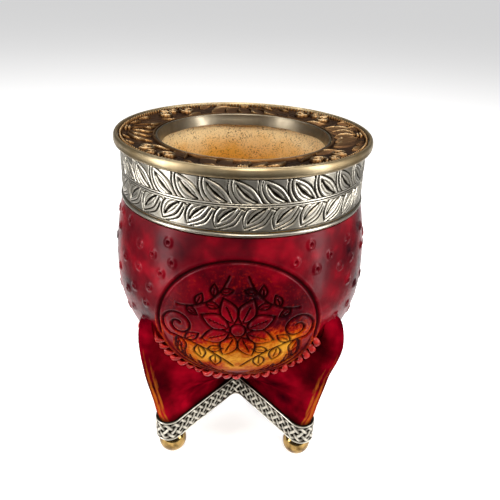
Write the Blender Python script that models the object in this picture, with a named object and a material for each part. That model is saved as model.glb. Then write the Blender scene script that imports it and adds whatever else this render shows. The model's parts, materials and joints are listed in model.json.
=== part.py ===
"""Mate gourd cup: a calabash lined cup in leather, with a metal rim and a star base on four balls.

Metres in the mesh, millimetres in the dimensions below. +Z is up, the floor is z = 0,
the middle of the cup is x = y = 0, and the carved medallion faces -Y.
"""
import math

import bmesh
import bpy
from mathutils import Vector

MM = 0.001
GAP = 0.3                     # clearance between pieces that touch
STEPS = 48                    # facets round every turned piece

# Body: the lower half is an ellipsoid, the upper half draws in to the neck
HEIGHT = 125.0
BELLY_R = 46.1
BELLY_Z = 76.0
BELLY_DEPTH = 45.0            # from the belly line down to the lowest point
NECK_R = 43.1
NECK_Z = 102.2
LEATHER_T = 1.6
GOURD_WALL = 6.0

# Mouth and metal work
RIM_R = 45.0
RIM_H = 3.5
BEAD_W = 1.5
FLANGE_IN_R = 31.1
FLANGE_T = 2.5
FLANGE_DISH = 1.2             # the inner edge of the flange lies this much lower
BAND_R = 42.8
BAND_T = 0.8
WIRE_R = 0.7
MOUTH_T = 0.8
MOUTH_DEPTH = 5.2
MOUTH_TAPER = 0.9

# Medallion circle, seen along the side's own axis; its lower half is the laced seam
MEDALLION_R = 29.7
MEDALLION_Z = 68.5
LACE_R = 0.8
LACE_REACH = math.radians(72)

# Base: four fins on the diagonals, with a woven band round the foot and a ball under each tip
LEG_OFFSET = 24.8             # x and y of each ball
BALL_R = 5.4
BALL_FLAT_R = 1.3
BALL_TOP_Z = 9.0
FOOT_Z = BALL_TOP_Z + GAP
FOOT_LIFT = 7.0               # how much higher the foot is at the middle than at the tips
BRAID_LOW = 8.8
BRAID_H = 8.8
BRAID_T = 0.8
LIFT_FREE_Z = 32.0            # above this height the sections of the base are level
VALLEY_FILLET = 4.0

# Height, reach along the diagonal, radius of the folded edge, and flare towards the body
FIN_STATIONS = (
    (FOOT_Z, 39.2, 4.2, 0.00),
    (18.0, 39.3, 4.2, 0.00),
    (22.0, 41.2, 3.7, 0.03),
    (27.0, 42.6, 3.3, 0.10),
    (32.0, 44.1, 3.1, 0.27),
    (36.0, 45.1, 3.0, 0.56),
    (40.0, 46.0, 3.0, 0.80),
    (44.0, 46.8, 3.0, 0.58),
    (50.0, 48.1, 3.0, 0.33),
    (58.0, 49.3, 3.0, 0.20),
    (62.0, 49.5, 3.0, 0.20),
    (64.5, 48.9, 2.8, 0.20),
    (66.3, 47.2, 2.4, 0.20),
    (67.5, 44.4, 2.0, 0.20),
)


def material(name, colour, metallic, roughness):
    """A Principled material with one colour."""
    mat = bpy.data.materials.new(name)
    mat.use_nodes = True
    shader = mat.node_tree.nodes["Principled BSDF"]
    shader.inputs["Base Color"].default_value = (*colour, 1.0)
    shader.inputs["Metallic"].default_value = metallic
    shader.inputs["Roughness"].default_value = roughness
    return mat


def finish_object(name, mesh, mat, sharp_deg=40):
    """Put a mesh in the scene as one named, smooth-shaded piece."""
    mesh.materials.append(mat)
    mesh.shade_smooth()
    mesh.set_sharp_from_angle(angle=math.radians(sharp_deg))
    obj = bpy.data.objects.new(name, mesh)
    bpy.context.scene.collection.objects.link(obj)
    return obj


def grid_mesh(name, rows, caps):
    """Skin closed rows of points; caps names the end points, or joins the last row to the first."""
    bm = bmesh.new()
    verts = [[bm.verts.new(Vector(p) * MM) for p in row] for row in rows]
    count = len(rows[0])
    bands = list(zip(verts, verts[1:]))
    if caps is None:
        bands.append((verts[-1], verts[0]))
    for low, high in bands:
        for i in range(count):
            j = (i + 1) % count
            bm.faces.new((low[i], low[j], high[j], high[i]))
    for ring, tip, flip in () if caps is None else ((verts[0], caps[0], True), (verts[-1], caps[1], False)):
        end = bm.verts.new(Vector(tip) * MM)
        for i in range(count):
            pair = (ring[i], ring[(i + 1) % count])
            bm.faces.new((*(reversed(pair) if flip else pair), end))
    bmesh.ops.recalc_face_normals(bm, faces=bm.faces)
    mesh = bpy.data.meshes.new(name)
    bm.to_mesh(mesh)
    bm.free()
    return mesh


def circle_row(radius, z, steps=STEPS, centre=(0.0, 0.0)):
    """Points of a level circle."""
    turn = 2 * math.pi / steps
    return [(centre[0] + radius * math.cos(i * turn), centre[1] + radius * math.sin(i * turn), z)
            for i in range(steps)]


def turned_ring(name, profile, mat):
    """A ring turned from a closed profile of (radius, z) that stays off the axis."""
    rows = [circle_row(r, z) for r, z in profile]
    return finish_object(name, grid_mesh(name, rows, None), mat)


def turned_cup(name, profile, mat):
    """A cup turned from an open profile whose two ends lie on the axis."""
    rows = [circle_row(r, z) for r, z in profile[1:-1]]
    ends = [(0.0, 0.0, profile[0][1]), (0.0, 0.0, profile[-1][1])]
    return finish_object(name, grid_mesh(name, rows, ends), mat)


def body_curve(offset, top_z, low_steps, high_steps):
    """The body's outline from its lowest point up to top_z, moved out by offset."""
    curve = []
    for i in range(low_steps + 1):
        angle = math.pi / 2 * i / low_steps
        curve.append(((BELLY_R + offset) * math.sin(angle),
                      BELLY_Z - (BELLY_DEPTH + offset) * math.cos(angle)))
    for i in range(1, high_steps + 1):
        z = BELLY_Z + (top_z - BELLY_Z) * i / high_steps
        draw_in = (BELLY_R - NECK_R) * ((z - BELLY_Z) / (NECK_Z - BELLY_Z)) ** 2
        curve.append((BELLY_R + offset - draw_in, z))
    return curve


def arc_profile(centre_r, centre_z, radius, count):
    """A round wire section as a closed profile."""
    turn = 2 * math.pi / count
    return [(centre_r + radius * math.cos(i * turn), centre_z + radius * math.sin(i * turn))
            for i in range(count)]


def make_gourd(mat):
    """The dried calabash: thick at the mouth, rounded inside."""
    top_z = HEIGHT - FLANGE_T - 2 * GAP
    outer = body_curve(-LEATHER_T - GAP, NECK_Z, 9, 3)
    neck_r = BAND_R - BAND_T - GAP
    outer += [(neck_r, NECK_Z + GAP), (neck_r, top_z)]
    inner = [(FLANGE_IN_R, top_z), (FLANGE_IN_R + 0.4, top_z - MOUTH_DEPTH - 1.0)]
    cavity_r = BELLY_R - LEATHER_T - GOURD_WALL
    cavity_depth = BELLY_DEPTH - LEATHER_T - GOURD_WALL
    for i in range(1, 3):
        share = i / 3
        blend = share * share * (3 - 2 * share)
        z = inner[1][1] + (BELLY_Z - inner[1][1]) * share
        inner.append((inner[1][0] + (cavity_r - inner[1][0]) * blend, z))
    for i in range(8):
        angle = math.pi / 2 * i / 8
        inner.append((cavity_r * math.cos(angle), BELLY_Z - cavity_depth * math.sin(angle)))
    inner.append((0.0, BELLY_Z - cavity_depth))
    return turned_cup("gourd_shell", outer + inner, mat)


def make_body_leather(mat):
    """The leather drawn over the gourd up to the collar."""
    outer = body_curve(0.0, NECK_Z, 11, 4)
    inner = body_curve(-LEATHER_T, NECK_Z, 8, 3)
    return turned_cup("body_leather", outer + inner[::-1], mat)


def make_metalwork(silver, bright):
    """Rim flange, outer bead, mouth collar, chased collar band and its lower wire."""
    under = HEIGHT - FLANGE_T - GAP
    out_r = RIM_R - BEAD_W - GAP
    dished = HEIGHT - GAP - FLANGE_DISH
    turned_ring("rim_flange", [
        (FLANGE_IN_R, under), (out_r, under), (out_r, HEIGHT - 0.6), (out_r - 0.6, HEIGHT - GAP),
        (FLANGE_IN_R + 0.5, dished), (FLANGE_IN_R, dished - 0.4)], silver)
    bead_in = RIM_R - BEAD_W
    low = HEIGHT - RIM_H
    bead = [(bead_in, low + 0.3), (bead_in + 0.4, low)]
    for i in range(5):
        angle = math.pi * (i / 4 - 0.5)
        bead.append((RIM_R - 0.8 + 0.8 * math.cos(angle),
                     HEIGHT - RIM_H / 2 + RIM_H / 2 * math.sin(angle)))
    bead += [(bead_in + 0.4, HEIGHT), (bead_in, HEIGHT - 0.3)]
    turned_ring("rim_bead", bead, bright)
    mouth_r = FLANGE_IN_R - GAP
    mouth_top = dished - 0.5
    mouth_low = mouth_top - MOUTH_DEPTH
    turned_ring("mouth_collar", [
        (mouth_r - MOUTH_TAPER - MOUTH_T, mouth_low), (mouth_r - MOUTH_TAPER, mouth_low),
        (mouth_r, mouth_top), (mouth_r - MOUTH_T / 2, mouth_top + 0.3), (mouth_r - MOUTH_T, mouth_top)],
        bright)
    band_low = NECK_Z + 2 * GAP + 2 * WIRE_R
    turned_ring("collar_band", [
        (BAND_R - BAND_T, band_low), (BAND_R, band_low), (BAND_R, under - GAP),
        (BAND_R - BAND_T, under - GAP)], silver)
    turned_ring("collar_wire", arc_profile(BAND_R - 0.1, NECK_Z + GAP + WIRE_R, WIRE_R, 8), bright)


def fin_section(reach, edge_r, flare, offset):
    """One level outline of the star base, moved out by offset, as (x, y) points."""
    slope = math.atan(flare)
    centre = reach - edge_r
    radius = edge_r + offset
    side = radius / math.cos(slope)
    valley = (side + flare * centre) / (1 + flare)
    tangent = Vector((centre + radius * math.sin(slope), radius * math.cos(slope)))
    corner = Vector((valley, valley))
    run = (tangent - corner).length
    near_corner = corner + (tangent - corner) * min(0.45, VALLEY_FILLET / run)
    half = [Vector((centre + radius * math.cos(a), radius * math.sin(a)))
            for a in ((math.pi / 2 - slope) * i / 3 for i in range(4))]
    half += [tangent.lerp(near_corner, share) for share in (0.33, 0.67, 1.0)]
    start, end = near_corner, Vector((near_corner.y, near_corner.x))
    bend = [start.lerp(corner, t).lerp(corner.lerp(end, t), t) for t in (0.33, 0.67)]
    outline = []
    for quarter in range(4):
        angle = math.radians(45 + 90 * quarter)
        along = Vector((math.cos(angle), math.sin(angle)))
        across = Vector((-along.y, along.x))
        arm = [Vector((p.x, -p.y)) for p in reversed(half[1:])] + half + bend
        outline += [along * p.x + across * p.y for p in arm]
    return outline


def foot_lift(point, reach, height):
    """How much a point of a section is raised, so that the foot arches up to the middle."""
    inward = 1 - point.length / reach
    fade = min(1.0, max(0.0, (LIFT_FREE_Z - height) / (LIFT_FREE_Z - FIN_STATIONS[1][0])))
    return FOOT_LIFT * inward * fade


def fin_row(station, offset, height=None):
    """One row of the base's skin at a station."""
    z, reach, edge_r, flare = station
    z = z if height is None else height
    outline = fin_section(reach, edge_r, flare, offset)
    return [(p.x, p.y, z + foot_lift(p, reach + offset, z)) for p in outline]


def cut_by(obj, cutter):
    """Take a cutter's shape out of an object."""
    cutter.display_type = "WIRE"
    cutter.hide_render = True
    cut = obj.modifiers.new("cut_" + cutter.name, "BOOLEAN")
    cut.operation = "DIFFERENCE"
    cut.solver = "EXACT"
    cut.object = cutter


def make_base(mat):
    """The leather base: a four-pointed star under the belly, hollowed to take the body."""
    rows = [fin_row(station, 0.0) for station in FIN_STATIONS]
    ends = [(0.0, 0.0, FOOT_Z + FOOT_LIFT), (0.0, 0.0, FIN_STATIONS[-1][0])]
    base = finish_object("base_leather", grid_mesh("base_leather", rows, ends), mat)
    seat = body_curve(GAP, NECK_Z, 11, 4)
    seat.append((0.0, NECK_Z))
    cut_by(base, turned_cup("seat_cutter", seat, mat))
    for name, axis in (("cutter_y", "X"), ("cutter_x", "Y")):
        disc = [circle_row(MEDALLION_R, z) for z in (-60.0, 60.0)]
        mesh = grid_mesh(name, disc, [(0.0, 0.0, -60.0), (0.0, 0.0, 60.0)])
        window = finish_object(name, mesh, mat)
        turn = (math.pi / 2, 0.0, 0.0) if axis == "X" else (0.0, math.pi / 2, 0.0)
        window.rotation_euler = turn
        window.location.z = MEDALLION_Z * MM
        cut_by(base, window)
    return base


def make_braid(mat):
    """The woven metal band that follows the star's outline at the foot."""
    station = FIN_STATIONS[0]
    inside, outside = GAP + 0.05, GAP + 0.05 + BRAID_T
    high = BRAID_LOW + BRAID_H
    rows = [fin_row(station, outside, BRAID_LOW), fin_row(station, outside, high),
            fin_row(station, inside, high), fin_row(station, inside, BRAID_LOW)]
    return finish_object("braid_band", grid_mesh("braid_band", rows, None), mat)


def make_lace(index, mat):
    """The lace along one medallion's lower half, as a plain round cord."""
    stand_off = LACE_R + GAP + 0.1
    path_r = MEDALLION_R - stand_off
    path = []
    steps = 22
    for i in range(steps + 1):
        angle = LACE_REACH * (2 * i / steps - 1)
        x, z = path_r * math.sin(angle), MEDALLION_Z - path_r * math.cos(angle)
        level = ((z - BELLY_Z) / (BELLY_DEPTH + stand_off)) ** 2
        path.append(Vector((x, -math.sqrt((BELLY_R + stand_off) ** 2 * (1 - level) - x * x), z)))
    turn = math.pi / 2 * index
    rows = []
    for i, point in enumerate(path):
        ahead = (path[min(i + 1, steps)] - path[max(i - 1, 0)]).normalized()
        out = Vector((point.x, point.y, point.z - BELLY_Z))
        out = (out - ahead * out.dot(ahead)).normalized()
        side = ahead.cross(out)
        row = []
        for k in range(6):
            angle = math.pi / 3 * k
            p = point + out * (LACE_R * math.cos(angle)) + side * (LACE_R * math.sin(angle))
            row.append((p.x * math.cos(turn) - p.y * math.sin(turn),
                        p.x * math.sin(turn) + p.y * math.cos(turn), p.z))
        rows.append(row)
    ends = [tuple(sum((Vector(p) for p in row), Vector()) / len(row)) for row in (rows[0], rows[-1])]
    name = f"seam_lace_{index + 1}"
    return finish_object(name, grid_mesh(name, rows, ends), mat)


def make_ball(index, mat):
    """A ball foot with a small flat to stand on and a flat top under the leg."""
    centre_z = math.sqrt(BALL_R ** 2 - BALL_FLAT_R ** 2)
    low = math.asin(-centre_z / BALL_R)
    high = math.asin((BALL_TOP_Z - centre_z) / BALL_R)
    angle = math.radians(45 + 90 * index)
    middle = (LEG_OFFSET * math.sqrt(2) * math.cos(angle), LEG_OFFSET * math.sqrt(2) * math.sin(angle))
    rows = []
    for i in range(9):
        rise = low + (high - low) * i / 8
        rows.append(circle_row(BALL_R * math.cos(rise), centre_z + BALL_R * math.sin(rise), 16, middle))
    ends = [(*middle, 0.0), (*middle, BALL_TOP_Z)]
    name = f"ball_foot_{index + 1}"
    return finish_object(name, grid_mesh(name, rows, ends), mat)


def main():
    """Clear the scene and make every piece."""
    for obj in list(bpy.data.objects):
        bpy.data.objects.remove(obj, do_unlink=True)
    calabash = material("calabash", (0.62, 0.40, 0.17), 0.0, 0.7)
    red_leather = material("red_leather", (0.23, 0.004, 0.012), 0.0, 0.35)
    chased_silver = material("chased_silver", (0.55, 0.50, 0.43), 1.0, 0.35)
    bright_silver = material("bright_silver", (0.68, 0.62, 0.52), 1.0, 0.2)
    red_lace = material("red_lace", (0.60, 0.02, 0.02), 0.0, 0.5)
    ball_brass = material("ball_brass", (0.75, 0.60, 0.32), 1.0, 0.18)
    make_gourd(calabash)
    make_body_leather(red_leather)
    make_metalwork(chased_silver, bright_silver)
    make_base(red_leather)
    make_braid(chased_silver)
    for index in range(4):
        make_lace(index, red_lace)
        make_ball(index, ball_brass)


main()
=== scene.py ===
# %% [markdown]
# # A mate cup in laced red leather
# The cup is a dried calabash inside a tight leather cover. It has a wide rim cast in relief, a chased
# collar, a star-shaped leather base with a plaited metal band round its foot, and four brass balls.
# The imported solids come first: they say where every piece goes, and nothing below moves them.

# %% Load the solids
import json
import math

import bpy
import numpy as np
from mathutils import Matrix, Vector

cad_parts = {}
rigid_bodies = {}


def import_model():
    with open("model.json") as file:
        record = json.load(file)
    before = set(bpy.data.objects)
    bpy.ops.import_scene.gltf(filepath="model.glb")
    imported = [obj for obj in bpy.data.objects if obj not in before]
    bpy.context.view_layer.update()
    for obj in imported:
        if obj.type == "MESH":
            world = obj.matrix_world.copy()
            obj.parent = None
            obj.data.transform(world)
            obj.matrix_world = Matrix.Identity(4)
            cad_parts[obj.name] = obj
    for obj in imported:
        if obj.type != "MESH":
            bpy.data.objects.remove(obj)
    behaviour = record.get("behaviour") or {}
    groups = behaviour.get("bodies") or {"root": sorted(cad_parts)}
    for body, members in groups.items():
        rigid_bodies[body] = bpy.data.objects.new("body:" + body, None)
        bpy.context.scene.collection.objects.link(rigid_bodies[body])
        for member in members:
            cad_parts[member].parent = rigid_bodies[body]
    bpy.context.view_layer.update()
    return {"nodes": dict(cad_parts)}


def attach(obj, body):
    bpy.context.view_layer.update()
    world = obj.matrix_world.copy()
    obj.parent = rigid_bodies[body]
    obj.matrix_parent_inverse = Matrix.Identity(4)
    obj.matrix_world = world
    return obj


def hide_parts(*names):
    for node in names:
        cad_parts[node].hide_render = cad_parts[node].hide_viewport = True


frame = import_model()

MM = 0.001
print("solids:", sorted(frame["nodes"]))

# %% [markdown]
# ## Small helpers
# Colours are written as the eye reads them, in sRGB hex, and one function turns them to the linear
# values that Blender computes with. One function adds a node with its settings and links, for
# materials and for Geometry Nodes alike.

# %% Colour and node helpers
def linear(code):
    """An sRGB hex colour as linear RGBA."""
    values = [int(code[i:i + 2], 16) / 255 for i in (1, 3, 5)]
    return (*(v / 12.92 if v <= 0.04045 else ((v + 0.055) / 1.055) ** 2.4 for v in values), 1.0)


def add(tree, kind, inputs=None, stops=None, **settings):
    """Add one node: settings are its properties, inputs its socket values or links, stops a ramp's."""
    node = tree.nodes.new(kind)
    for name, value in settings.items():
        setattr(node, name, value)
    for key, value in (inputs or {}).items():
        if isinstance(value, bpy.types.NodeSocket):
            tree.links.new(value, node.inputs[key])
        else:
            node.inputs[key].default_value = value
    if stops:
        elements = node.color_ramp.elements
        while len(elements) < len(stops):
            elements.new(1.0)
        for element, (place, code) in zip(elements, stops):
            element.position = place
            element.color = linear(code)
    return node


def new_material(name, values):
    """A material with its Principled shader's own sockets set; returns it with its tree and shader."""
    mat = bpy.data.materials.new(name)
    mat.use_nodes = True
    tree = mat.node_tree
    shader = tree.nodes["Principled BSDF"]
    for key, value in values.items():
        shader.inputs[key].default_value = value
    return mat, tree, shader


print("a crimson in linear RGB:", [round(v, 3) for v in linear("#9a051c")[:3]])

# %% [markdown]
# Most pieces are skins over rows of points. Working in millimetres keeps the numbers readable, and the
# mesh is written in metres. A finished piece rides on the cup's one body and stands for one of the
# solids.

# %% Mesh helpers
def grid_faces(rows, cols, wrap_rows=False, wrap_cols=False):
    """Quads that join rows of points, which are counted row by row."""
    row = np.arange(rows if wrap_rows else rows - 1)
    col = np.arange(cols if wrap_cols else cols - 1)
    low, left = np.meshgrid(row, col, indexing="ij")
    high, right = (low + 1) % rows, (left + 1) % cols
    quads = [low * cols + left, low * cols + right, high * cols + right, high * cols + left]
    return np.stack(quads, -1).reshape(-1, 4).tolist()


def mesh_object(name, points, faces, mat=None, attributes=None, sharp_deg=50):
    """A smooth-shaded mesh object at the origin, from points in millimetres."""
    mesh = bpy.data.meshes.new(name)
    mesh.from_pydata((np.asarray(points).reshape(-1, 3) * MM).tolist(), [], faces)
    for key, values in (attributes or {}).items():
        layer = mesh.attributes.new(key, "FLOAT", "POINT")
        layer.data.foreach_set("value", np.asarray(values, np.float32).ravel())
    if mat:
        mesh.materials.append(mat)
    mesh.shade_smooth()
    mesh.set_sharp_from_angle(angle=math.radians(sharp_deg))
    obj = bpy.data.objects.new(name, mesh)
    bpy.context.scene.collection.objects.link(obj)
    return obj


def place(obj, slot, *nodes):
    """Let a finished piece ride on the cup and stand for its solids; slot is not used."""
    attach(obj, "root")
    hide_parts(*nodes)
    faces = sum(len(p.vertices) - 2 for p in obj.data.polygons)
    print(f"{obj.name}: {faces} triangles, stands for {', '.join(nodes)}")


print("quads between 2 rows of 8 points in a ring:", len(grid_faces(2, 8, wrap_cols=True)))

# %% [markdown]
# A turned piece is a skin whose rows are circles: its profile runs up the outside and down the inside,
# so that every face points out of the material. A skin that isn't a closed ring gets a point at each end.

# %% Turned and closed skins
def turn_points(profile, angles):
    """Points of a profile of (radius, height) turned round the axis, as rows x angles x 3."""
    radius, height = np.asarray(profile, float).T
    level = np.repeat(height[:, None], len(angles), 1)
    return np.stack([np.outer(radius, np.cos(angles)), np.outer(radius, np.sin(angles)), level], -1)


def capped(name, rows, low_tip, high_tip, mat=None, attributes=None):
    """A closed skin over rows of points, with one point below the first row and one above the last."""
    count, cols = len(rows), len(rows[0])
    points = np.vstack([np.vstack(rows), [low_tip, high_tip]])
    faces = grid_faces(count, cols, wrap_cols=True)
    low, last = count * cols, (count - 1) * cols
    faces += [[low, (i + 1) % cols, i] for i in range(cols)]
    faces += [[low + 1, last + i, last + (i + 1) % cols] for i in range(cols)]
    return mesh_object(name, points, faces, mat, attributes)


def turned(name, profile, mat, steps=256, poles=False, shape=None):
    """A turned piece. With poles the profile starts and ends on the axis, otherwise it is a closed loop."""
    rows = turn_points(profile[1:-1] if poles else profile, np.arange(steps) * 2 * math.pi / steps)
    if shape:
        rows = shape(rows)
    if poles:
        return capped(name, rows, (0, 0, profile[0][1]), (0, 0, profile[-1][1]), mat)
    return mesh_object(name, rows, grid_faces(len(rows), steps, wrap_rows=True, wrap_cols=True), mat)


print("points of a profile of 3 in 4 steps:", turn_points([(1, 0), (2, 1), (1, 2)], np.arange(4)).shape)

# %% [markdown]
# ## Camera, floor and light
# The cup was photographed from a little above its rim with a short lens, and slightly tilted. The
# place, the pitch and the lens below were found by fitting the rim, the collar and the four feet.

# %% Camera
LENS = 41.43
EYE = Vector((0.0, -200.1, 175.3))
PITCH = math.radians(26.0)
YAW = math.radians(1.08)
ROLL = math.radians(2.2)

forward = Vector((math.sin(YAW) * math.cos(PITCH), math.cos(YAW) * math.cos(PITCH), -math.sin(PITCH)))
level_right = Vector((math.cos(YAW), -math.sin(YAW), 0.0))
level_up = level_right.cross(forward)
right = level_right * math.cos(ROLL) + level_up * math.sin(ROLL)
up = level_up * math.cos(ROLL) - level_right * math.sin(ROLL)

camera_data = bpy.data.cameras.new("camera")
camera_data.lens = LENS
camera_data.sensor_width = 36.0
camera_data.clip_start = 0.01
camera = bpy.data.objects.new("camera", camera_data)
bpy.context.scene.collection.objects.link(camera)
axes = Matrix((right, up, -forward)).transposed().to_4x4()
camera.matrix_world = Matrix.Translation(EYE * MM) @ axes
bpy.context.scene.camera = camera
print("camera at", [round(v, 1) for v in EYE], "mm, lens", LENS)

# %% [markdown]
# The floor is a wide disc of lit acrylic: it glows a little by itself, so it stays white without a hard
# light on the cup. Black card lies on it in front and at both sides of the cup, outside the picture, so
# that the leather and the metal have something dark to mirror.

# %% Floor and card
FLOOR_R = 9000.0
acrylic, tree, shader = new_material("lit_acrylic", {
    "Roughness": 0.7, "Specular IOR Level": 0.2, "Emission Color": linear("#ffffff"),
    "Emission Strength": 0.56})
grain = add(tree, "ShaderNodeTexNoise", {"Scale": 40.0, "Detail": 3.0})
tint = add(tree, "ShaderNodeValToRGB", {"Fac": grain.outputs["Fac"]}, [(0.3, "#f6f6f6"), (0.7, "#fafafa")])
tree.links.new(tint.outputs["Color"], shader.inputs["Base Color"])
ring = [(FLOOR_R * math.cos(a), FLOOR_R * math.sin(a), 0.0) for a in np.arange(64) * math.pi / 32]
floor = mesh_object("floor", ring, [list(range(len(ring)))], acrylic)

card_black, tree, shader = new_material("black_card", {"Roughness": 0.8, "Specular IOR Level": 0.2})
weave = add(tree, "ShaderNodeTexNoise", {"Scale": 60.0, "Detail": 3.0})
tint = add(tree, "ShaderNodeValToRGB", {"Fac": weave.outputs["Fac"]}, [(0.3, "#1c1c1e"), (0.7, "#242426")])
tree.links.new(tint.outputs["Color"], shader.inputs["Base Color"])
half = [(600, -620), (600, 300), (247, 300), (96, -68)]
corners = [(x, y, 0.4) for x, y in half] + [(-x, y, 0.4) for x, y in reversed(half)]
card = mesh_object("black_card", corners, [list(range(len(corners)))], card_black)
print("stage:", floor.name, card.name)

# %% [markdown]
# Polished metal shows its surroundings, so the light is built like a small product studio: one long soft
# box on each side, a larger one above and one in front, and a narrow strip close to each side for the
# upright highlights. The world adds a little even light. The Standard view transform keeps the crimson
# as deep as it is.

# %% Lights
def soft_box(name, where, size, power, tint_code="#ffffff"):
    """An area light at a point in mm, aimed at the cup's middle."""
    data = bpy.data.lights.new(name, "AREA")
    data.shape = "RECTANGLE"
    data.size, data.size_y = (side * MM for side in size)
    data.energy = power
    data.color = linear(tint_code)[:3]
    light = bpy.data.objects.new(name, data)
    light.location = Vector(where) * MM
    aim = Vector((0, 0, 70)) * MM - light.location
    light.rotation_euler = aim.to_track_quat("-Z", "Y").to_euler()
    bpy.context.scene.collection.objects.link(light)


soft_box("box_left", (-560, -300, 330), (180, 520), 1.9)
soft_box("box_right", (560, -260, 320), (150, 520), 2.2)
soft_box("box_top", (0, 260, 820), (700, 500), 4.6)
soft_box("box_front", (70, -560, 640), (420, 300), 3.4, "#fff6ea")
soft_box("strip_left", (-150, -88, 84), (36, 150), 0.12)
soft_box("strip_right", (156, -74, 84), (30, 150), 0.09)
bpy.context.scene.view_settings.view_transform = "Standard"

world = bpy.data.worlds.new("studio")
bpy.context.scene.world = world
world.use_nodes = True
background = world.node_tree.nodes["Background"]
background.inputs["Color"].default_value = linear("#d8d8dc")
background.inputs["Strength"].default_value = 0.14
print("lights:", [light.name for light in bpy.data.lights])

# %% [markdown]
# ## Dimensions of the cup
# These repeat the driving sizes of the solids, in millimetres, so that every skin made here lies on
# the solid that it replaces. GAP is the room between two parts, and EDGE is how far a sharp edge is
# taken off.

# %% Shared sizes
GAP = 0.3
EDGE = 0.3
HEIGHT = 125.0
BELLY_R, BELLY_Z, BELLY_DEPTH = 46.1, 76.0, 45.0
NECK_R, NECK_Z = 43.1, 102.2
LEATHER_T, GOURD_WALL = 1.6, 6.0
RIM_R, RIM_H, BEAD_W = 45.0, 3.5, 1.5
FLANGE_IN_R, FLANGE_OUT_R, FLANGE_T, FLANGE_DISH = 31.1, 43.2, 2.5, 1.2
BAND_R, BAND_T, BAND_LOW, BAND_TOP = 42.8, 0.8, 104.2, 121.9
WIRE_R = 0.7
MOUTH_T, MOUTH_DEPTH, MOUTH_TAPER = 0.8, 5.2, 0.9
MEDALLION_R, MEDALLION_Z = 29.7, 68.5
BRAID_LOW, BRAID_H, BRAID_T = 8.8, 8.8, 0.8
BALL_R, BALL_FLAT_R, BALL_TOP_Z, LEG_OFFSET = 5.4, 1.3, 9.0, 24.8


def body_radius(height):
    """The body's radius at a height: an ellipsoid below the belly line, drawn in to the neck above."""
    height = np.asarray(height, float)
    low = BELLY_R * np.sqrt(np.clip(1 - ((BELLY_Z - height) / BELLY_DEPTH) ** 2, 0, 1))
    high = BELLY_R - (BELLY_R - NECK_R) * ((height - BELLY_Z) / (NECK_Z - BELLY_Z)) ** 2
    return np.where(height < BELLY_Z, low, high)


def smooth(values, low, high):
    """0 below low, 1 above high, and a smooth step between."""
    share = np.clip((np.asarray(values, float) - low) / (high - low), 0, 1)
    return share * share * (3 - 2 * share)


print("body radius at the neck:", round(float(body_radius(NECK_Z)), 2))

# %% [markdown]
# ## Finishes
# ** Chased nickel silver.** The smith darkens the whole surface and then polishes the high parts. The
# eye sees bright ribs and almost black cuts, so the colour and the roughness follow an attribute named
# relief, which every chased piece carries: 0 in the cuts and 1 on the ribs. Its dark in the cuts is
# partly that oxide and partly painted shade in the hollows. The plait is a little darker, and the rim
# uses the same tree with the brown of an old oxidised casting.

# %% Chased metal
def chased_metal(name, stops, rough_low, rough_high, mottle_mm):
    """Metal with dark cuts and polished ribs, and a cloudy patina mottle_mm across."""
    mat, tree, shader = new_material(name, {"Metallic": 1.0})
    # The relief attribute holds the oxide and the polish, with painted shade in the hollows and painted
    # light on the rim's petals
    relief = add(tree, "ShaderNodeAttribute", attribute_name="relief")
    place_node = add(tree, "ShaderNodeTexCoord")
    cloud = add(tree, "ShaderNodeTexNoise", {
        "Vector": place_node.outputs["Object"], "Scale": 1 / (mottle_mm * MM), "Detail": 3.0})
    shift = add(tree, "ShaderNodeMapRange", {
        "Value": cloud.outputs["Fac"], "From Min": 0.3, "From Max": 0.7, "To Min": -0.13, "To Max": 0.1})
    level = add(tree, "ShaderNodeMath", {0: relief.outputs["Fac"], 1: shift.outputs["Result"]})
    tone = add(tree, "ShaderNodeValToRGB", {"Fac": level.outputs[0]}, stops)
    tree.links.new(tone.outputs["Color"], shader.inputs["Base Color"])
    rough = add(tree, "ShaderNodeMapRange", {
        "Value": level.outputs[0], "To Min": rough_low, "To Max": rough_high})
    tree.links.new(rough.outputs["Result"], shader.inputs["Roughness"])
    # Marks of the punch, 0.35 mm across, drawn a little coarser than the real ones so that they show
    marks = add(tree, "ShaderNodeTexNoise", {
        "Vector": place_node.outputs["Object"], "Scale": 1 / (0.35 * MM), "Detail": 2.0})
    bump = add(tree, "ShaderNodeBump", {
        "Height": marks.outputs["Fac"], "Strength": 0.12, "Distance": 0.05 * MM})
    tree.links.new(bump.outputs["Normal"], shader.inputs["Normal"])
    return mat


chased_silver = chased_metal("chased_nickel_silver", [
    (0.0, "#15120d"), (0.32, "#544e43"), (0.6, "#a09a8c"), (0.88, "#d6d0c3")], 0.5, 0.34, 6.0)
rim_bronze = chased_metal("oxidised_cast_rim", [
    (0.0, "#2a180a"), (0.35, "#5f4024"), (0.62, "#8e6b42"), (1.0, "#d2b68c")], 0.46, 0.32, 9.0)
plait_silver = chased_metal("plaited_nickel_silver", [
    (0.0, "#120f0b"), (0.38, "#443f36"), (0.66, "#8a867b"), (0.92, "#c9c5b8")], 0.5, 0.3, 7.0)
print("chased metals:", chased_silver.name, rim_bronze.name, plait_silver.name)
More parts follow.
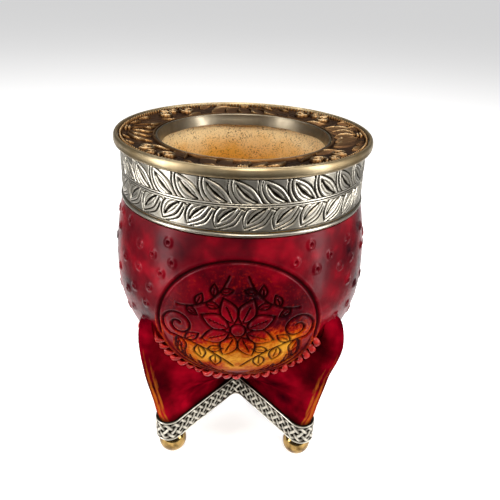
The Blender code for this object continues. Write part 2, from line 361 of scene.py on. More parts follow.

# %% [markdown]
# ** Polished nickel silver** is warm and softly mirror-like. Tarnish lies on it in clouds, which are
# browner and duller, and shallow dents from the hand bend the reflection. The wire is the cleanest, and
# the mouth collar, which the lips and fingers touch, is the darkest. **Polished brass** on the ball
# feet is yellow and glossier, with small dark clouds that are tarnish and also painted dark reflections.

# %% Bright metals
def bright_metal(name, clean, stained, rough_low, rough_high, cloud_mm):
    """A polished metal with a cloud of tarnish that changes its colour and roughness together."""
    mat, tree, shader = new_material(name, {"Metallic": 1.0})
    place_node = add(tree, "ShaderNodeTexCoord")
    cloud = add(tree, "ShaderNodeTexNoise", {
        "Vector": place_node.outputs["Object"], "Scale": 1 / (cloud_mm * MM), "Detail": 4.0})
    tone = add(tree, "ShaderNodeValToRGB", {"Fac": cloud.outputs["Fac"]}, [(0.35, clean), (0.7, stained)])
    tree.links.new(tone.outputs["Color"], shader.inputs["Base Color"])
    rough = add(tree, "ShaderNodeMapRange", {
        "Value": cloud.outputs["Fac"], "From Min": 0.3, "From Max": 0.7, "To Min": rough_low,
        "To Max": rough_high})
    tree.links.new(rough.outputs["Result"], shader.inputs["Roughness"])
    dents = add(tree, "ShaderNodeTexNoise", {
        "Vector": place_node.outputs["Object"], "Scale": 1 / (2.5 * MM), "Detail": 1.0})
    bump = add(tree, "ShaderNodeBump", {
        "Height": dents.outputs["Fac"], "Strength": 0.1, "Distance": 0.08 * MM})
    tree.links.new(bump.outputs["Normal"], shader.inputs["Normal"])
    return mat


rim_silver = bright_metal("polished_nickel_silver", "#bcaa88", "#8c7856", 0.32, 0.48, 10.0)
wire_silver = bright_metal("polished_silver_wire", "#cdc7b8", "#a39c8b", 0.26, 0.38, 14.0)
mouth_silver = bright_metal("worn_nickel_silver", "#988d79", "#6a5f4d", 0.3, 0.46, 9.0)
# The balls' dark clouds are tarnish and also painted dark reflections
ball_brass = bright_metal("polished_brass", "#b4955a", "#523c20", 0.08, 0.18, 3.0)
print("bright metals:", rim_silver.name, wire_silver.name, mouth_silver.name, ball_brass.name)

# %% [markdown]
# ** Dyed and waxed leather.** Crimson dye lies in clouds over the hide and goes nearly black in the
# cuts. A thin wax coat gives the body broad soft highlights, and the base has none. The carver has
# rubbed orange dye into the lower part of the medallion, and the folded edges of the base are worn to
# orange. Where each of these lies is written on the mesh as attributes: cut, dye, worn and raw. The cut
# attribute also carries painted shade in the quill pits, at the foot of the welt and on the base, and
# the darker lower edge of the medallion.

# %% Leather
def dyed_leather(name, wax, shine):
    """Crimson leather whose attributes bring in the cuts, the orange dye, the wear and the raw hide."""
    mat, tree, shader = new_material(name, {
        "IOR": 1.5, "Specular Tint": linear("#ff96a4"), "Specular IOR Level": shine,
        "Coat Weight": wax, "Coat Roughness": 0.2, "Coat IOR": 1.45})
    place_node = add(tree, "ShaderNodeTexCoord")
    where = place_node.outputs["Object"]
    cloud = add(tree, "ShaderNodeTexNoise", {
        "Vector": where, "Scale": 1 / (16 * MM), "Detail": 3.0, "Roughness": 0.6})
    red = add(tree, "ShaderNodeValToRGB", {"Fac": cloud.outputs["Fac"]}, [
        (0.32, "#240008"), (0.5, "#64000f"), (0.66, "#9a051c")])
    speck = add(tree, "ShaderNodeTexNoise", {"Vector": where, "Scale": 1 / (0.9 * MM), "Detail": 3.0})
    marks = {key: add(tree, "ShaderNodeAttribute", attribute_name=key) for key in
             ("cut", "dye", "worn", "raw")}
    # Orange dye: it lies in pools, its edge is broken up by the grain, its middle is nearly yellow
    spread = add(tree, "ShaderNodeMapRange", {
        "Value": speck.outputs["Fac"], "From Min": 0.3, "From Max": 0.7, "To Min": -0.12, "To Max": 0.12})
    pool = add(tree, "ShaderNodeTexNoise", {"Vector": where, "Scale": 1 / (7 * MM), "Detail": 2.0})
    pools = add(tree, "ShaderNodeMapRange", {
        "Value": pool.outputs["Fac"], "From Min": 0.3, "From Max": 0.7, "To Min": 0.6, "To Max": 1.35})
    pooled = add(tree, "ShaderNodeMath", {
        0: marks["dye"].outputs["Fac"], 1: pools.outputs["Result"]}, operation="MULTIPLY")
    dye = add(tree, "ShaderNodeMath", {0: pooled.outputs[0], 1: spread.outputs["Result"]})
    dye_tone = add(tree, "ShaderNodeValToRGB", {"Fac": dye.outputs[0]}, [
        (0.15, "#8c0404"), (0.36, "#b63208"), (0.58, "#d06a14"), (0.9, "#f2aa34")])
    dye_share = add(tree, "ShaderNodeMapRange", {
        "Value": dye.outputs[0], "From Min": 0.1, "From Max": 0.4})
    dyed = add(tree, "ShaderNodeMix", {
        0: dye_share.outputs["Result"], 6: red.outputs["Color"], 7: dye_tone.outputs["Color"]},
        data_type="RGBA")
    # Wear on the folds: broken streaks of orange along the ridge
    drawn_out = add(tree, "ShaderNodeMapping", {"Vector": where, "Scale": (1.0, 1.0, 0.22)})
    streak = add(tree, "ShaderNodeTexNoise", {
        "Vector": drawn_out.outputs["Vector"], "Scale": 1 / (1.5 * MM), "Detail": 4.0, "Roughness": 0.65})
    rub = add(tree, "ShaderNodeMath", {
        0: marks["worn"].outputs["Fac"], 1: streak.outputs["Fac"]}, operation="MULTIPLY")
    rub_share = add(tree, "ShaderNodeMapRange", {
        "Value": rub.outputs[0], "From Min": 0.22, "From Max": 0.6, "To Max": 0.9})
    rubbed = add(tree, "ShaderNodeMix", {
        0: rub_share.outputs["Result"], 6: dyed.outputs[2], 7: linear("#b45a1c")}, data_type="RGBA")
    hide_tone = add(tree, "ShaderNodeValToRGB", {"Fac": cloud.outputs["Fac"]}, [
        (0.3, "#24130d"), (0.7, "#4a2a1c")])
    hide = add(tree, "ShaderNodeMix", {
        0: marks["raw"].outputs["Fac"], 6: rubbed.outputs[2], 7: hide_tone.outputs["Color"]},
        data_type="RGBA")
    # The cut attribute darkens the colour: the cuts, and painted shade in the pits, by the welt and on the
    # base
    dark = add(tree, "ShaderNodeMix", {
        0: marks["cut"].outputs["Fac"], 6: hide.outputs[2], 7: linear("#1d0405")}, data_type="RGBA")
    tree.links.new(dark.outputs[2], shader.inputs["Base Color"])
    # The cuts and the dyed part drink the wax, so they shine less than the rest
    dull = add(tree, "ShaderNodeMath", {
        0: marks["cut"].outputs["Fac"], 1: marks["dye"].outputs["Fac"]}, operation="MAXIMUM")
    gloss = add(tree, "ShaderNodeMapRange", {
        "Value": dull.outputs[0], "From Min": 0.1, "From Max": 0.36, "To Min": 1.0, "To Max": 0.06})
    for label, amount in (("Specular IOR Level", shine), ("Coat Weight", wax)):
        if amount > 0:
            part_of = add(tree, "ShaderNodeMath", {
                0: gloss.outputs["Result"], 1: amount}, operation="MULTIPLY")
            tree.links.new(part_of.outputs[0], shader.inputs[label])
    rough = add(tree, "ShaderNodeMapRange", {
        "Value": speck.outputs["Fac"], "From Min": 0.3, "From Max": 0.7, "To Min": 0.3, "To Max": 0.46})
    tree.links.new(rough.outputs["Result"], shader.inputs["Roughness"])
    # Hide grain, cells about 0.7 mm across, under a coarser unevenness of about 3 mm
    cells = add(tree, "ShaderNodeTexVoronoi", {"Vector": where, "Scale": 1 / (0.7 * MM)})
    waves = add(tree, "ShaderNodeTexNoise", {"Vector": where, "Scale": 1 / (3.0 * MM), "Detail": 2.0})
    fine = add(tree, "ShaderNodeBump", {
        "Height": cells.outputs["Distance"], "Strength": 0.16, "Distance": 0.08 * MM})
    broad = add(tree, "ShaderNodeBump", {
        "Height": waves.outputs["Fac"], "Strength": 0.35, "Distance": 0.25 * MM,
        "Normal": fine.outputs["Normal"]})
    tree.links.new(broad.outputs["Normal"], shader.inputs["Normal"])
    return mat


red_leather = dyed_leather("dyed_waxed_leather", 0.15, 0.16)
fin_leather = dyed_leather("dyed_leather_of_the_base", 0.0, 0.0)
print("leathers:", red_leather.name, fin_leather.name)

# %% [markdown]
# ** Leather lace** is the same hide cut thin and dyed a brighter red. **Dried calabash** is a matt,
# woody skin: light tan above, more yellow below, with fine dark pores that gather in patches. The change
# from light tan to yellow with height is painted light falling in through the mouth.

# %% Lace and calabash
lace_red, tree, shader = new_material("dyed_leather_lace", {"Roughness": 0.42, "IOR": 1.5})
where = add(tree, "ShaderNodeTexCoord").outputs["Object"]
cloud = add(tree, "ShaderNodeTexNoise", {"Vector": where, "Scale": 1 / (1.6 * MM), "Detail": 3.0})
tone = add(tree, "ShaderNodeValToRGB", {"Fac": cloud.outputs["Fac"]}, [
    (0.3, "#860808"), (0.5, "#b8120e"), (0.75, "#d83226")])
tree.links.new(tone.outputs["Color"], shader.inputs["Base Color"])
bump = add(tree, "ShaderNodeBump", {"Height": cloud.outputs["Fac"], "Strength": 0.4, "Distance": 0.2 * MM})
tree.links.new(bump.outputs["Normal"], shader.inputs["Normal"])

calabash, tree, shader = new_material("dried_calabash", {"Roughness": 0.75, "IOR": 1.45})
where = add(tree, "ShaderNodeTexCoord").outputs["Object"]
parts = add(tree, "ShaderNodeSeparateXYZ", {"Vector": where})
# Painted light: the inside is lighter and paler towards the mouth
depth = add(tree, "ShaderNodeMapRange", {
    "Value": parts.outputs["Z"], "From Min": 100 * MM, "From Max": 119 * MM})
cloud = add(tree, "ShaderNodeTexNoise", {"Vector": where, "Scale": 1 / (11 * MM), "Detail": 4.0})
height_painted_light_and_cloud = add(tree, "ShaderNodeMath", {0: depth.outputs["Result"], 1: cloud.outputs["Fac"]})
tan = add(tree, "ShaderNodeMapRange", {"Value": height_painted_light_and_cloud.outputs[0], "From Max": 1.5})
tone = add(tree, "ShaderNodeValToRGB", {"Fac": tan.outputs["Result"]}, [
    (0.15, "#c8801c"), (0.5, "#f0b64c"), (0.9, "#ffe6ae")])
pores = add(tree, "ShaderNodeTexNoise", {"Vector": where, "Scale": 1 / (0.6 * MM), "Detail": 3.0})
pore_share = add(tree, "ShaderNodeMapRange", {
    "Value": pores.outputs["Fac"], "From Min": 0.5, "From Max": 0.68, "To Max": 0.9})
grain = add(tree, "ShaderNodeTexNoise", {"Vector": where, "Scale": 1 / (3.0 * MM), "Detail": 5.0})
grain_share = add(tree, "ShaderNodeMapRange", {
    "Value": grain.outputs["Fac"], "From Min": 0.35, "From Max": 0.65, "To Min": 0.25})
pore = add(tree, "ShaderNodeMath", {
    0: pore_share.outputs["Result"], 1: grain_share.outputs["Result"]}, operation="MULTIPLY")
mottled = add(tree, "ShaderNodeMix", {
    0: pore.outputs[0], 6: tone.outputs["Color"], 7: linear("#5a3210")}, data_type="RGBA")
tree.links.new(mottled.outputs[2], shader.inputs["Base Color"])
bump = add(tree, "ShaderNodeBump", {"Height": grain.outputs["Fac"], "Strength": 0.5, "Distance": 0.3 * MM})
tree.links.new(bump.outputs["Normal"], shader.inputs["Normal"])
print("materials:", [m.name for m in bpy.data.materials if m.use_nodes])

# %% [markdown]
# ## Turned metal
# The bead round the rim is a bent and polished strip with a rounded face. The mouth collar inside it is
# a thin tapered sleeve that was pressed over the gourd by hand, so that its lower edge waves a little. The
# lower wire closes the collar band. All are turned profiles, with arcs where the metal is round.

# %% Bead, mouth collar and wire
def arc(centre_r, centre_z, radius_r, radius_z, start_deg, end_deg, count):
    """Points of an elliptical arc in a profile."""
    angles = np.radians(np.linspace(start_deg, end_deg, count))
    return [(centre_r + radius_r * math.cos(a), centre_z + radius_z * math.sin(a)) for a in angles]


bead_in = RIM_R - BEAD_W
bead_low = HEIGHT - RIM_H
profile = [(bead_in, bead_low + EDGE), (bead_in + EDGE, bead_low)]
profile += arc(RIM_R - 0.9, HEIGHT - RIM_H / 2, 0.9, RIM_H / 2, -80, 80, 15)
profile += [(bead_in + EDGE, HEIGHT), (bead_in, HEIGHT - EDGE)]
rim_bead = turned("rim_bead_polished", profile, rim_silver)
place(rim_bead, "bright_silver", "rim_bead")

mouth_r = FLANGE_IN_R - GAP
mouth_top = HEIGHT - GAP - FLANGE_DISH - 0.5
mouth_low = mouth_top - MOUTH_DEPTH + 1.1
profile = [(mouth_r - MOUTH_TAPER, mouth_low + 0.2), (mouth_r - 0.5 * MOUTH_TAPER, mouth_low + 2.4),
           (mouth_r, mouth_top - 0.4)]
profile += arc(mouth_r - 0.4, mouth_top - 0.1, 0.4, 0.4, 0, 180, 9)
profile += [(mouth_r - MOUTH_T, mouth_top - 0.5), (mouth_r - 0.5 * MOUTH_TAPER - MOUTH_T, mouth_low + 2.4),
            (mouth_r - MOUTH_TAPER - MOUTH_T, mouth_low + 0.2),
            (mouth_r - MOUTH_TAPER - MOUTH_T / 2, mouth_low)]


def hand_pressed(rows):
    """Let the lower edge wave by a few tenths of a millimetre."""
    angle = np.arctan2(rows[..., 1], rows[..., 0])
    wave = 0.22 * np.sin(3 * angle + 1) + 0.16 * np.sin(7 * angle) + 0.1 * np.sin(13 * angle + 2)
    share = np.clip((mouth_top - rows[..., 2]) / MOUTH_DEPTH, 0, 1)
    rows[..., 2] += (0.35 + wave) * share
    return rows


mouth_collar = turned("mouth_collar_polished", profile, mouth_silver, shape=hand_pressed)
place(mouth_collar, "bright_silver", "mouth_collar")

wire = turned("collar_wire_polished", arc(BAND_R - 0.1, NECK_Z + GAP + WIRE_R, WIRE_R, WIRE_R, 0, 345, 24),
              wire_silver, steps=320)
place(wire, "bright_silver", "collar_wire")

# %% [markdown]
# ## The calabash
# A dried gourd is never perfectly round inside: the scraped wall wanders by a few tenths of a
# millimetre. The profile repeats the solid's: straight at the neck, wide at the belly, round below.

# %% Gourd
def body_profile(offset, top, low_rows, high_rows):
    """The body's outline from its lowest point up to a height, moved out by offset."""
    curve = [((BELLY_R + offset) * math.sin(a), BELLY_Z - (BELLY_DEPTH + offset) * math.cos(a))
             for a in np.linspace(0, math.pi / 2, low_rows)]
    return curve + [(float(body_radius(z)) + offset, z) for z in np.linspace(BELLY_Z, top, high_rows)[1:]]


gourd_top = HEIGHT - FLANGE_T - 2 * GAP
profile = body_profile(-LEATHER_T - GAP, NECK_Z, 16, 8)
neck_r = BAND_R - BAND_T - GAP
profile += [(neck_r, NECK_Z + GAP), (neck_r, gourd_top - EDGE), (neck_r - EDGE, gourd_top)]
lip_r, lip_z = FLANGE_IN_R + 0.4, gourd_top - MOUTH_DEPTH - 1.0
profile += [(FLANGE_IN_R + EDGE, gourd_top), (FLANGE_IN_R, gourd_top - EDGE), (lip_r, lip_z)]
cavity_r = BELLY_R - LEATHER_T - GOURD_WALL
cavity_depth = BELLY_DEPTH - LEATHER_T - GOURD_WALL
for share in np.linspace(0, 1, 22)[1:-1]:
    radius = lip_r + (cavity_r - lip_r) * smooth(share, 0, 1)
    profile.append((radius, lip_z + (BELLY_Z - lip_z) * share))
profile += [(cavity_r * math.cos(a), BELLY_Z - cavity_depth * math.sin(a))
            for a in np.linspace(0, math.pi / 2, 34)]


def scraped(rows):
    """Make the inner wall wander, as a scraped gourd's does."""
    radius = np.hypot(rows[..., 0], rows[..., 1])
    angle = np.arctan2(rows[..., 1], rows[..., 0])
    height = rows[..., 2]
    inside = (radius < cavity_r + 0.2) & (height < lip_z) & (height > BELLY_Z - cavity_depth)
    inside &= radius < body_radius(height) - LEATHER_T - 3.0
    wander = 0.3 * np.sin(3 * angle + height / 9) + 0.2 * np.sin(5 * angle - height / 6 + 2)
    wander += 0.12 * np.sin(11 * angle + height / 3)
    scale = 1 - np.where(inside, (wander + 0.4) * 0.6, 0) / np.maximum(radius, 8)
    rows[..., 0] *= scale
    rows[..., 1] *= scale
    return rows


gourd = turned("calabash_inside", profile, calabash, steps=192, poles=True, shape=scraped)
place(gourd, "calabash", "gourd_shell")

# %% [markdown]
# ## Relief that repeats along a path
# The collar's leaves, the rim's fans and the plait are each one short tile of relief, repeated along a
# path: 30 leaf pairs, 4 fans, and about a hundred short tiles of the plait. A tile is a fine grid of
# heights made by a formula, closed at the back. A Geometry Nodes tree sets the tiles in a row, joins
# them and bends the row along the path: x runs along it, and the tile stands upright or lies flat.

# %% Tree that bends a row of tiles along a path
def new_tree(name, inputs):
    """A Geometry Nodes tree with a geometry input and more named ones; returns it and its inputs."""
    tree = bpy.data.node_groups.new(name, "GeometryNodeTree")
    tree.interface.new_socket(name="Geometry", in_out="OUTPUT", socket_type="NodeSocketGeometry")
    for label, kind in {"Geometry": "Geometry", **inputs}.items():
        tree.interface.new_socket(name=label, in_out="INPUT", socket_type="NodeSocket" + kind)
    return tree, add(tree, "NodeGroupInput").outputs


wrap, given = new_tree("tiles_along_path", {
    "Tile": "Object", "Path": "Object", "Count": "Int", "Length": "Float", "Lies Flat": "Bool",
    "Finish": "Material"})
tile_in = add(wrap, "GeometryNodeObjectInfo", {"Object": given["Tile"]})
path_in = add(wrap, "GeometryNodeObjectInfo", {"Object": given["Path"]})
pitch = add(wrap, "ShaderNodeMath", {0: given["Length"], 1: given["Count"]}, operation="DIVIDE")
step = add(wrap, "ShaderNodeCombineXYZ", {"X": pitch.outputs[0]})
row = add(wrap, "GeometryNodeMeshLine", {"Count": given["Count"], "Offset": step.outputs[0]})
set_out = add(wrap, "GeometryNodeInstanceOnPoints", {
    "Points": row.outputs[0], "Instance": tile_in.outputs["Geometry"]})
joined = add(wrap, "GeometryNodeRealizeInstances", {0: set_out.outputs[0]})
spot = add(wrap, "GeometryNodeInputPosition")
spot_xyz = add(wrap, "ShaderNodeSeparateXYZ", {0: spot.outputs[0]})
share = add(wrap, "ShaderNodeMath", {0: spot_xyz.outputs["X"], 1: given["Length"]}, operation="DIVIDE")
sample = add(wrap, "GeometryNodeSampleCurve", {
    "Curves": path_in.outputs["Geometry"], "Factor": share.outputs[0]}, mode="FACTOR")
cross = add(wrap, "ShaderNodeVectorMath", {
    0: sample.outputs["Tangent"], 1: (0.0, 0.0, 1.0)}, operation="CROSS_PRODUCT")
outward = add(wrap, "ShaderNodeVectorMath", {0: cross.outputs[0]}, operation="NORMALIZE")
flat_across = add(wrap, "ShaderNodeMath", {0: spot_xyz.outputs["Y"], 1: -1.0}, operation="MULTIPLY")
out_by = add(wrap, "GeometryNodeSwitch", {
    "Switch": given["Lies Flat"], "False": spot_xyz.outputs["Z"], "True": flat_across.outputs[0]},
    input_type="FLOAT")
up_by = add(wrap, "GeometryNodeSwitch", {
    "Switch": given["Lies Flat"], "False": spot_xyz.outputs["Y"], "True": spot_xyz.outputs["Z"]},
    input_type="FLOAT")
out_move = add(wrap, "ShaderNodeVectorMath", {
    0: outward.outputs[0], "Scale": out_by.outputs[0]}, operation="SCALE")
up_move = add(wrap, "ShaderNodeCombineXYZ", {"Z": up_by.outputs[0]})
moved = add(wrap, "ShaderNodeVectorMath", {0: sample.outputs["Position"], 1: out_move.outputs[0]})
bent = add(wrap, "ShaderNodeVectorMath", {0: moved.outputs[0], 1: up_move.outputs[0]})
shaped = add(wrap, "GeometryNodeSetPosition", {
    "Geometry": joined.outputs[0], "Position": bent.outputs[0]})
welded = add(wrap, "GeometryNodeMergeByDistance", {
    "Geometry": shaped.outputs[0], "Distance": 0.01 * MM})
finished = add(wrap, "GeometryNodeSetMaterial", {
    "Geometry": welded.outputs[0], "Material": given["Finish"]})
add(wrap, "NodeGroupOutput", {0: finished.outputs[0]})
print("nodes in the tree:", len(wrap.nodes))

# %% [markdown]
# The tree's inputs are set on a modifier by their identifiers. The evaluated result is copied to a
# plain mesh, and the modifier goes again, so nothing is left that could change later.

# %% Run a tree
def run_tree(name, source, tree, sharp_deg=60, **values):
    """Run a Geometry Nodes tree on an object, and keep what it makes as a plain mesh object."""
    modifier = source.modifiers.new("nodes", "NODES")
    modifier.node_group = tree
    for item in tree.interface.items_tree:
        if item.in_out == "INPUT" and item.name.replace(" ", "_") in values:
            modifier[item.identifier] = values[item.name.replace(" ", "_")]
    depsgraph = bpy.context.evaluated_depsgraph_get()
    mesh = bpy.data.meshes.new_from_object(
        source.evaluated_get(depsgraph), preserve_all_data_layers=True, depsgraph=depsgraph)
    source.modifiers.remove(modifier)
    mesh.name = name
    mesh.shade_smooth()
    mesh.set_sharp_from_angle(angle=math.radians(sharp_deg))
    obj = bpy.data.objects.new(name, mesh)
    bpy.context.scene.collection.objects.link(obj)
    return obj


print("inputs of the tree:", [item.name for item in wrap.interface.items_tree if item.in_out == "INPUT"])

# %% [markdown]
# A path is a closed curve through points, and its length says how many tiles it takes. A tile is a mesh
# whose front is the relief. Both are only helpers: they are cleared away when the piece is made.

# %% Paths and tiles
def path_object(name, points):
    """A closed curve object through points in millimetres."""
    curve = bpy.data.curves.new(name, "CURVE")
    curve.dimensions = "3D"
    spline = curve.splines.new("POLY")
    spline.points.add(len(points) - 1)
    for slot_point, p in zip(spline.points, points):
        slot_point.co = (*(Vector(p) * MM), 1.0)
    spline.use_cyclic_u = True
    obj = bpy.data.objects.new(name, curve)
    bpy.context.scene.collection.objects.link(obj)
    return obj


def path_length(points):
    """The length of a closed path."""
    points = np.asarray(points, float)
    return float(np.linalg.norm(np.roll(points, -1, 0) - points, axis=1).sum())


def relief_tile(name, x, y, height, back, relief):
    """A tile whose front is a grid of heights, closed by two edges and a back, and open at its ends."""
    rows, cols = height.shape
    front = np.stack([x, y, height], -1)
    edge_low = np.stack([x[0], y[0], np.full(cols, back)], -1)[None]
    edge_high = np.stack([x[-1], y[-1], np.full(cols, back)], -1)[None]
    points = np.concatenate([edge_low, front, edge_high])
    tone = np.concatenate([relief[:1], relief, relief[-1:]])
    faces = grid_faces(rows + 2, cols, wrap_rows=True)
    return mesh_object(name, points, faces, attributes={"relief": tone})


def wrap_tiles(name, tile, path_points, count, lies_flat, finish):
    """Bend a row of tiles along a closed path, and clear away the tile and the path."""
    path = path_object(name + "_path", path_points)
    source = mesh_object(name + "_source", [(0, 0, 0)], [])
    length = path_length(path_points) * MM
    piece = run_tree(name, source, wrap, Tile=tile, Path=path, Count=count, Length=length,
                     Lies_Flat=lies_flat, Finish=finish)
    for helper in (tile, path, source):
        bpy.data.objects.remove(helper, do_unlink=True)
    return piece


def level_circle(radius, height, start_deg, steps=720):
    """Points of a level circle, counter-clockwise from an angle."""
    angles = np.radians(start_deg) + np.arange(steps) * 2 * math.pi / steps
    return [(radius * math.cos(a), radius * math.sin(a), height) for a in angles]


print("length of the collar's path in mm:", round(path_length(level_circle(BAND_R, BAND_LOW, 0)), 1))

# %% [markdown]
# Relief is drawn with curves. A bow is a bent line, and a ridge is a round height along one. For every
# point of a grid, the first helper finds how far along a curve its nearest point lies and at which
# distance. The last one tells cuts from ribs: it compares each height with the average round it, partly
# as dirt and polish would, and partly as painted shade in the hollows.

# %% Relief helpers
def along_curve(x, y, curve):
    """Share along a curve (0 to 1) of the nearest point, and the distance, positive on the left."""
    curve = np.asarray(curve, float)
    flat = np.stack([x.ravel(), y.ravel()], -1)
    offset = flat[:, None, :] - curve[None, :, :]
    square = (offset ** 2).sum(-1)
    near = square.argmin(1)
    tangent = np.gradient(curve, axis=0)[near]
    delta = offset[np.arange(len(flat)), near]
    side = np.sign(tangent[:, 0] * delta[:, 1] - tangent[:, 1] * delta[:, 0])
    distance = np.sqrt(square.min(1)) * np.where(side == 0, 1, side)
    return (near / (len(curve) - 1)).reshape(x.shape), distance.reshape(x.shape)


def bow(start, end, bulge, count=60):
    """A curve from start to end that bulges to the left by a length."""
    start, end = np.array(start, float), np.array(end, float)
    run = end - start
    middle = (start + end) / 2 + np.array([-run[1], run[0]]) / np.linalg.norm(run) * bulge * 2
    t = np.linspace(0, 1, count)[:, None]
    return (1 - t) ** 2 * start + 2 * t * (1 - t) * middle + t ** 2 * end


def ridge(distance, half_width):
    """A round ridge of height 1."""
    return np.sqrt(np.clip(1 - (distance / half_width) ** 2, 0, 1))


def tone_of(height, reach=2):
    """0 in the cuts and 1 on the ribs: the height itself, and how it stands out over its surroundings, which
    adds painted shade to the hollows.
    """
    total = np.zeros_like(height)
    for shift_row in (-reach, 0, reach):
        for shift_col in (-reach, 0, reach):
            side = np.roll(height, shift_col, 1)
            total += side[np.clip(np.arange(len(height)) + shift_row, 0, len(height) - 1)]
    # Painted shade: a hollow comes out darker than its height alone would make it
    stands_out = height - total / 9
    return np.clip(0.05 + 0.8 * height + 0.8 * stands_out, 0, 1)


print("a ridge at its middle, half way and edge:", ridge(np.array([0.0, 0.5, 1.0]), 1.0).round(2))

# %% [markdown]
# ## The chased collar
# A twig runs round the collar with one leaf above and one below at every 9 mm. Each leaf is a
# fat lens with a broad rounded rim, a second rib inside it and a dark slit down its middle. To its left
# the chaser has filled the ground with ribs that follow the leaf's edge. A formula can say all this by
# the distance from a leaf's bent middle line, so no leaf is drawn point by point.

# %% Collar leaves
LEAVES = 30
LEAF_GRID = 0.225
COLLAR_PATH_R = 42.3
COLLAR_RELIEF = 0.55
TWIG_Y = 8.5
TWIG_HALF, TWIG_RIB_AT, TWIG_RIB_HALF = 0.75, 0.38, 0.34
GROUND_H = 0.8
CHASE_PITCH, CHASE_HALF, CHASE_REACH, CHASE_START = 1.4, 0.21, 2.7, 0.16
OUTER_RIB_AT, OUTER_RIB_HALF = 0.62, 0.64
INNER_RIB_AT, INNER_RIB_HALF, INNER_RIB_H = 1.75, 0.5, 0.85
RIB_ROUNDNESS = 0.6
BORDER_TOP, BORDER_LOW, BORDER_H = 1.0, 0.65, 0.55
LEAF_PLACE = 6.3


def leaf(x, y, base, tip, bulge, half_width):
    """Height of one leaf with the ribs on its left, and how deep inside its outline a point lies."""
    share, side = along_curve(x, y, bow(base, tip, bulge))
    inside = half_width * np.sin(math.pi * share) ** 0.75 - np.abs(side)
    outer = ridge(inside - OUTER_RIB_AT, OUTER_RIB_HALF) ** RIB_ROUNDNESS
    inner = INNER_RIB_H * ridge(inside - INNER_RIB_AT, INNER_RIB_HALF) ** RIB_ROUNDNESS
    slit = smooth(np.abs(side), 0.1, 0.5)
    outside = -inside
    from_cut = (outside - CHASE_START + CHASE_PITCH / 2) % CHASE_PITCH - CHASE_PITCH / 2
    cuts = np.exp(-(from_cut / CHASE_HALF) ** 2)
    near = (outside > CHASE_START) * (outside < CHASE_REACH) * (side > 0) * smooth(share, 0.0, 0.08)
    ground = GROUND_H * (1 - cuts * np.maximum(near, outside < 0.5))
    return np.where(inside > 0, np.maximum(outer, inner * slit), ground), inside


def collar_tile():
    """One leaf pair of the collar, as tall as the band."""
    pitch = 2 * math.pi * COLLAR_PATH_R / LEAVES
    tall = BAND_TOP - BAND_LOW
    cols = round(pitch / LEAF_GRID) + 1
    rows = round(tall / LEAF_GRID) + 1
    x, y = np.meshgrid(np.linspace(0, pitch, cols), np.linspace(0, tall, rows))
    height = np.full_like(x, GROUND_H)
    solid = np.full_like(x, -9.0)
    # Root, tip, bulge and half width of the leaf above the twig and of the one below it
    upper = ((0.0, TWIG_Y + 0.4), (-8.8, tall - 1.1), 1.1, 2.7)
    lower = ((-LEAF_PLACE, TWIG_Y - 0.4), (-14.0, 1.4), -1.2, 2.6)
    for base, tip, bulge, half_width in (upper, lower):
        for repeat in range(-1, 4):
            move = LEAF_PLACE + repeat * pitch
            leaf_height, inside = leaf(x, y, (base[0] + move, base[1]), (tip[0] + move, tip[1]),
                                       bulge, half_width)
            height = np.where(inside > np.maximum(solid, -0.3), leaf_height,
                              np.where(solid > -0.3, height, np.minimum(height, leaf_height)))
            solid = np.maximum(solid, inside)
    off_twig = np.abs(y - TWIG_Y)
    height = np.where(off_twig < TWIG_HALF, 0.9 * ridge(off_twig - TWIG_RIB_AT, TWIG_RIB_HALF), height)
    plain = BORDER_H * smooth(np.maximum(y - (tall - 0.9), 0.55 - y), 0.0, 0.15)
    height = np.where((y > tall - BORDER_TOP) | (y < BORDER_LOW), plain, height)
    return relief_tile("collar_tile", x, y, 0.1 + COLLAR_RELIEF * height, -0.3, tone_of(height))


collar = wrap_tiles("collar_leaves", collar_tile(), level_circle(COLLAR_PATH_R, BAND_LOW, -90),
                    LEAVES, False, chased_silver)
place(collar, "chased_silver", "collar_band")

# %% [markdown]
# ## The cast rim
# Four fans of five petals open towards the mouth. Behind each fan sits a small flower, on both sides
# of it a curl with small leaves, between two fans a bud, and a row of pearls runs beside the bead. The
# rim is dished, so a tile's heights fall towards the mouth. Each shape is stamped over the ones before
# it with a sunk groove round it, as a modeller lays them. The tone is given with each shape here: dark
# ground, brown bowls, pale ribs, and on each petal painted light, lighter on its high side and darker
# on its low side.

# %% Rim fans
FANS = 4
RIM_GRID = 0.2
RIM_RELIEF = 1.3
PEARLS = 50


def spiral(centre_x, centre_y, start_r, end_r, start_deg, turn_deg, count):
    """Points of a flat spiral."""
    t = np.linspace(0, 1, count)
    angle = np.radians(start_deg + turn_deg * t)
    radius = start_r + (end_r - start_r) * t
    return np.stack([centre_x + radius * np.cos(angle), centre_y + radius * np.sin(angle)], -1)


def polar(radius, angle_deg):
    """A point of the fan's plane: the fan's own direction is +y."""
    return radius * math.sin(math.radians(angle_deg)), radius * math.cos(math.radians(angle_deg))


def stamp(relief, inside, shape, shade, groove=0.3):
    """Set a raised shape into the relief's height and tone, with a sunk groove round it."""
    height, tone = relief
    around = (inside > -groove) & (inside <= 0)
    height = np.where(inside > 0, shape, np.where(around, 0.0, height))
    tone = np.where(inside > 0, shade, np.where(around, 0.0, tone))
    return height, tone


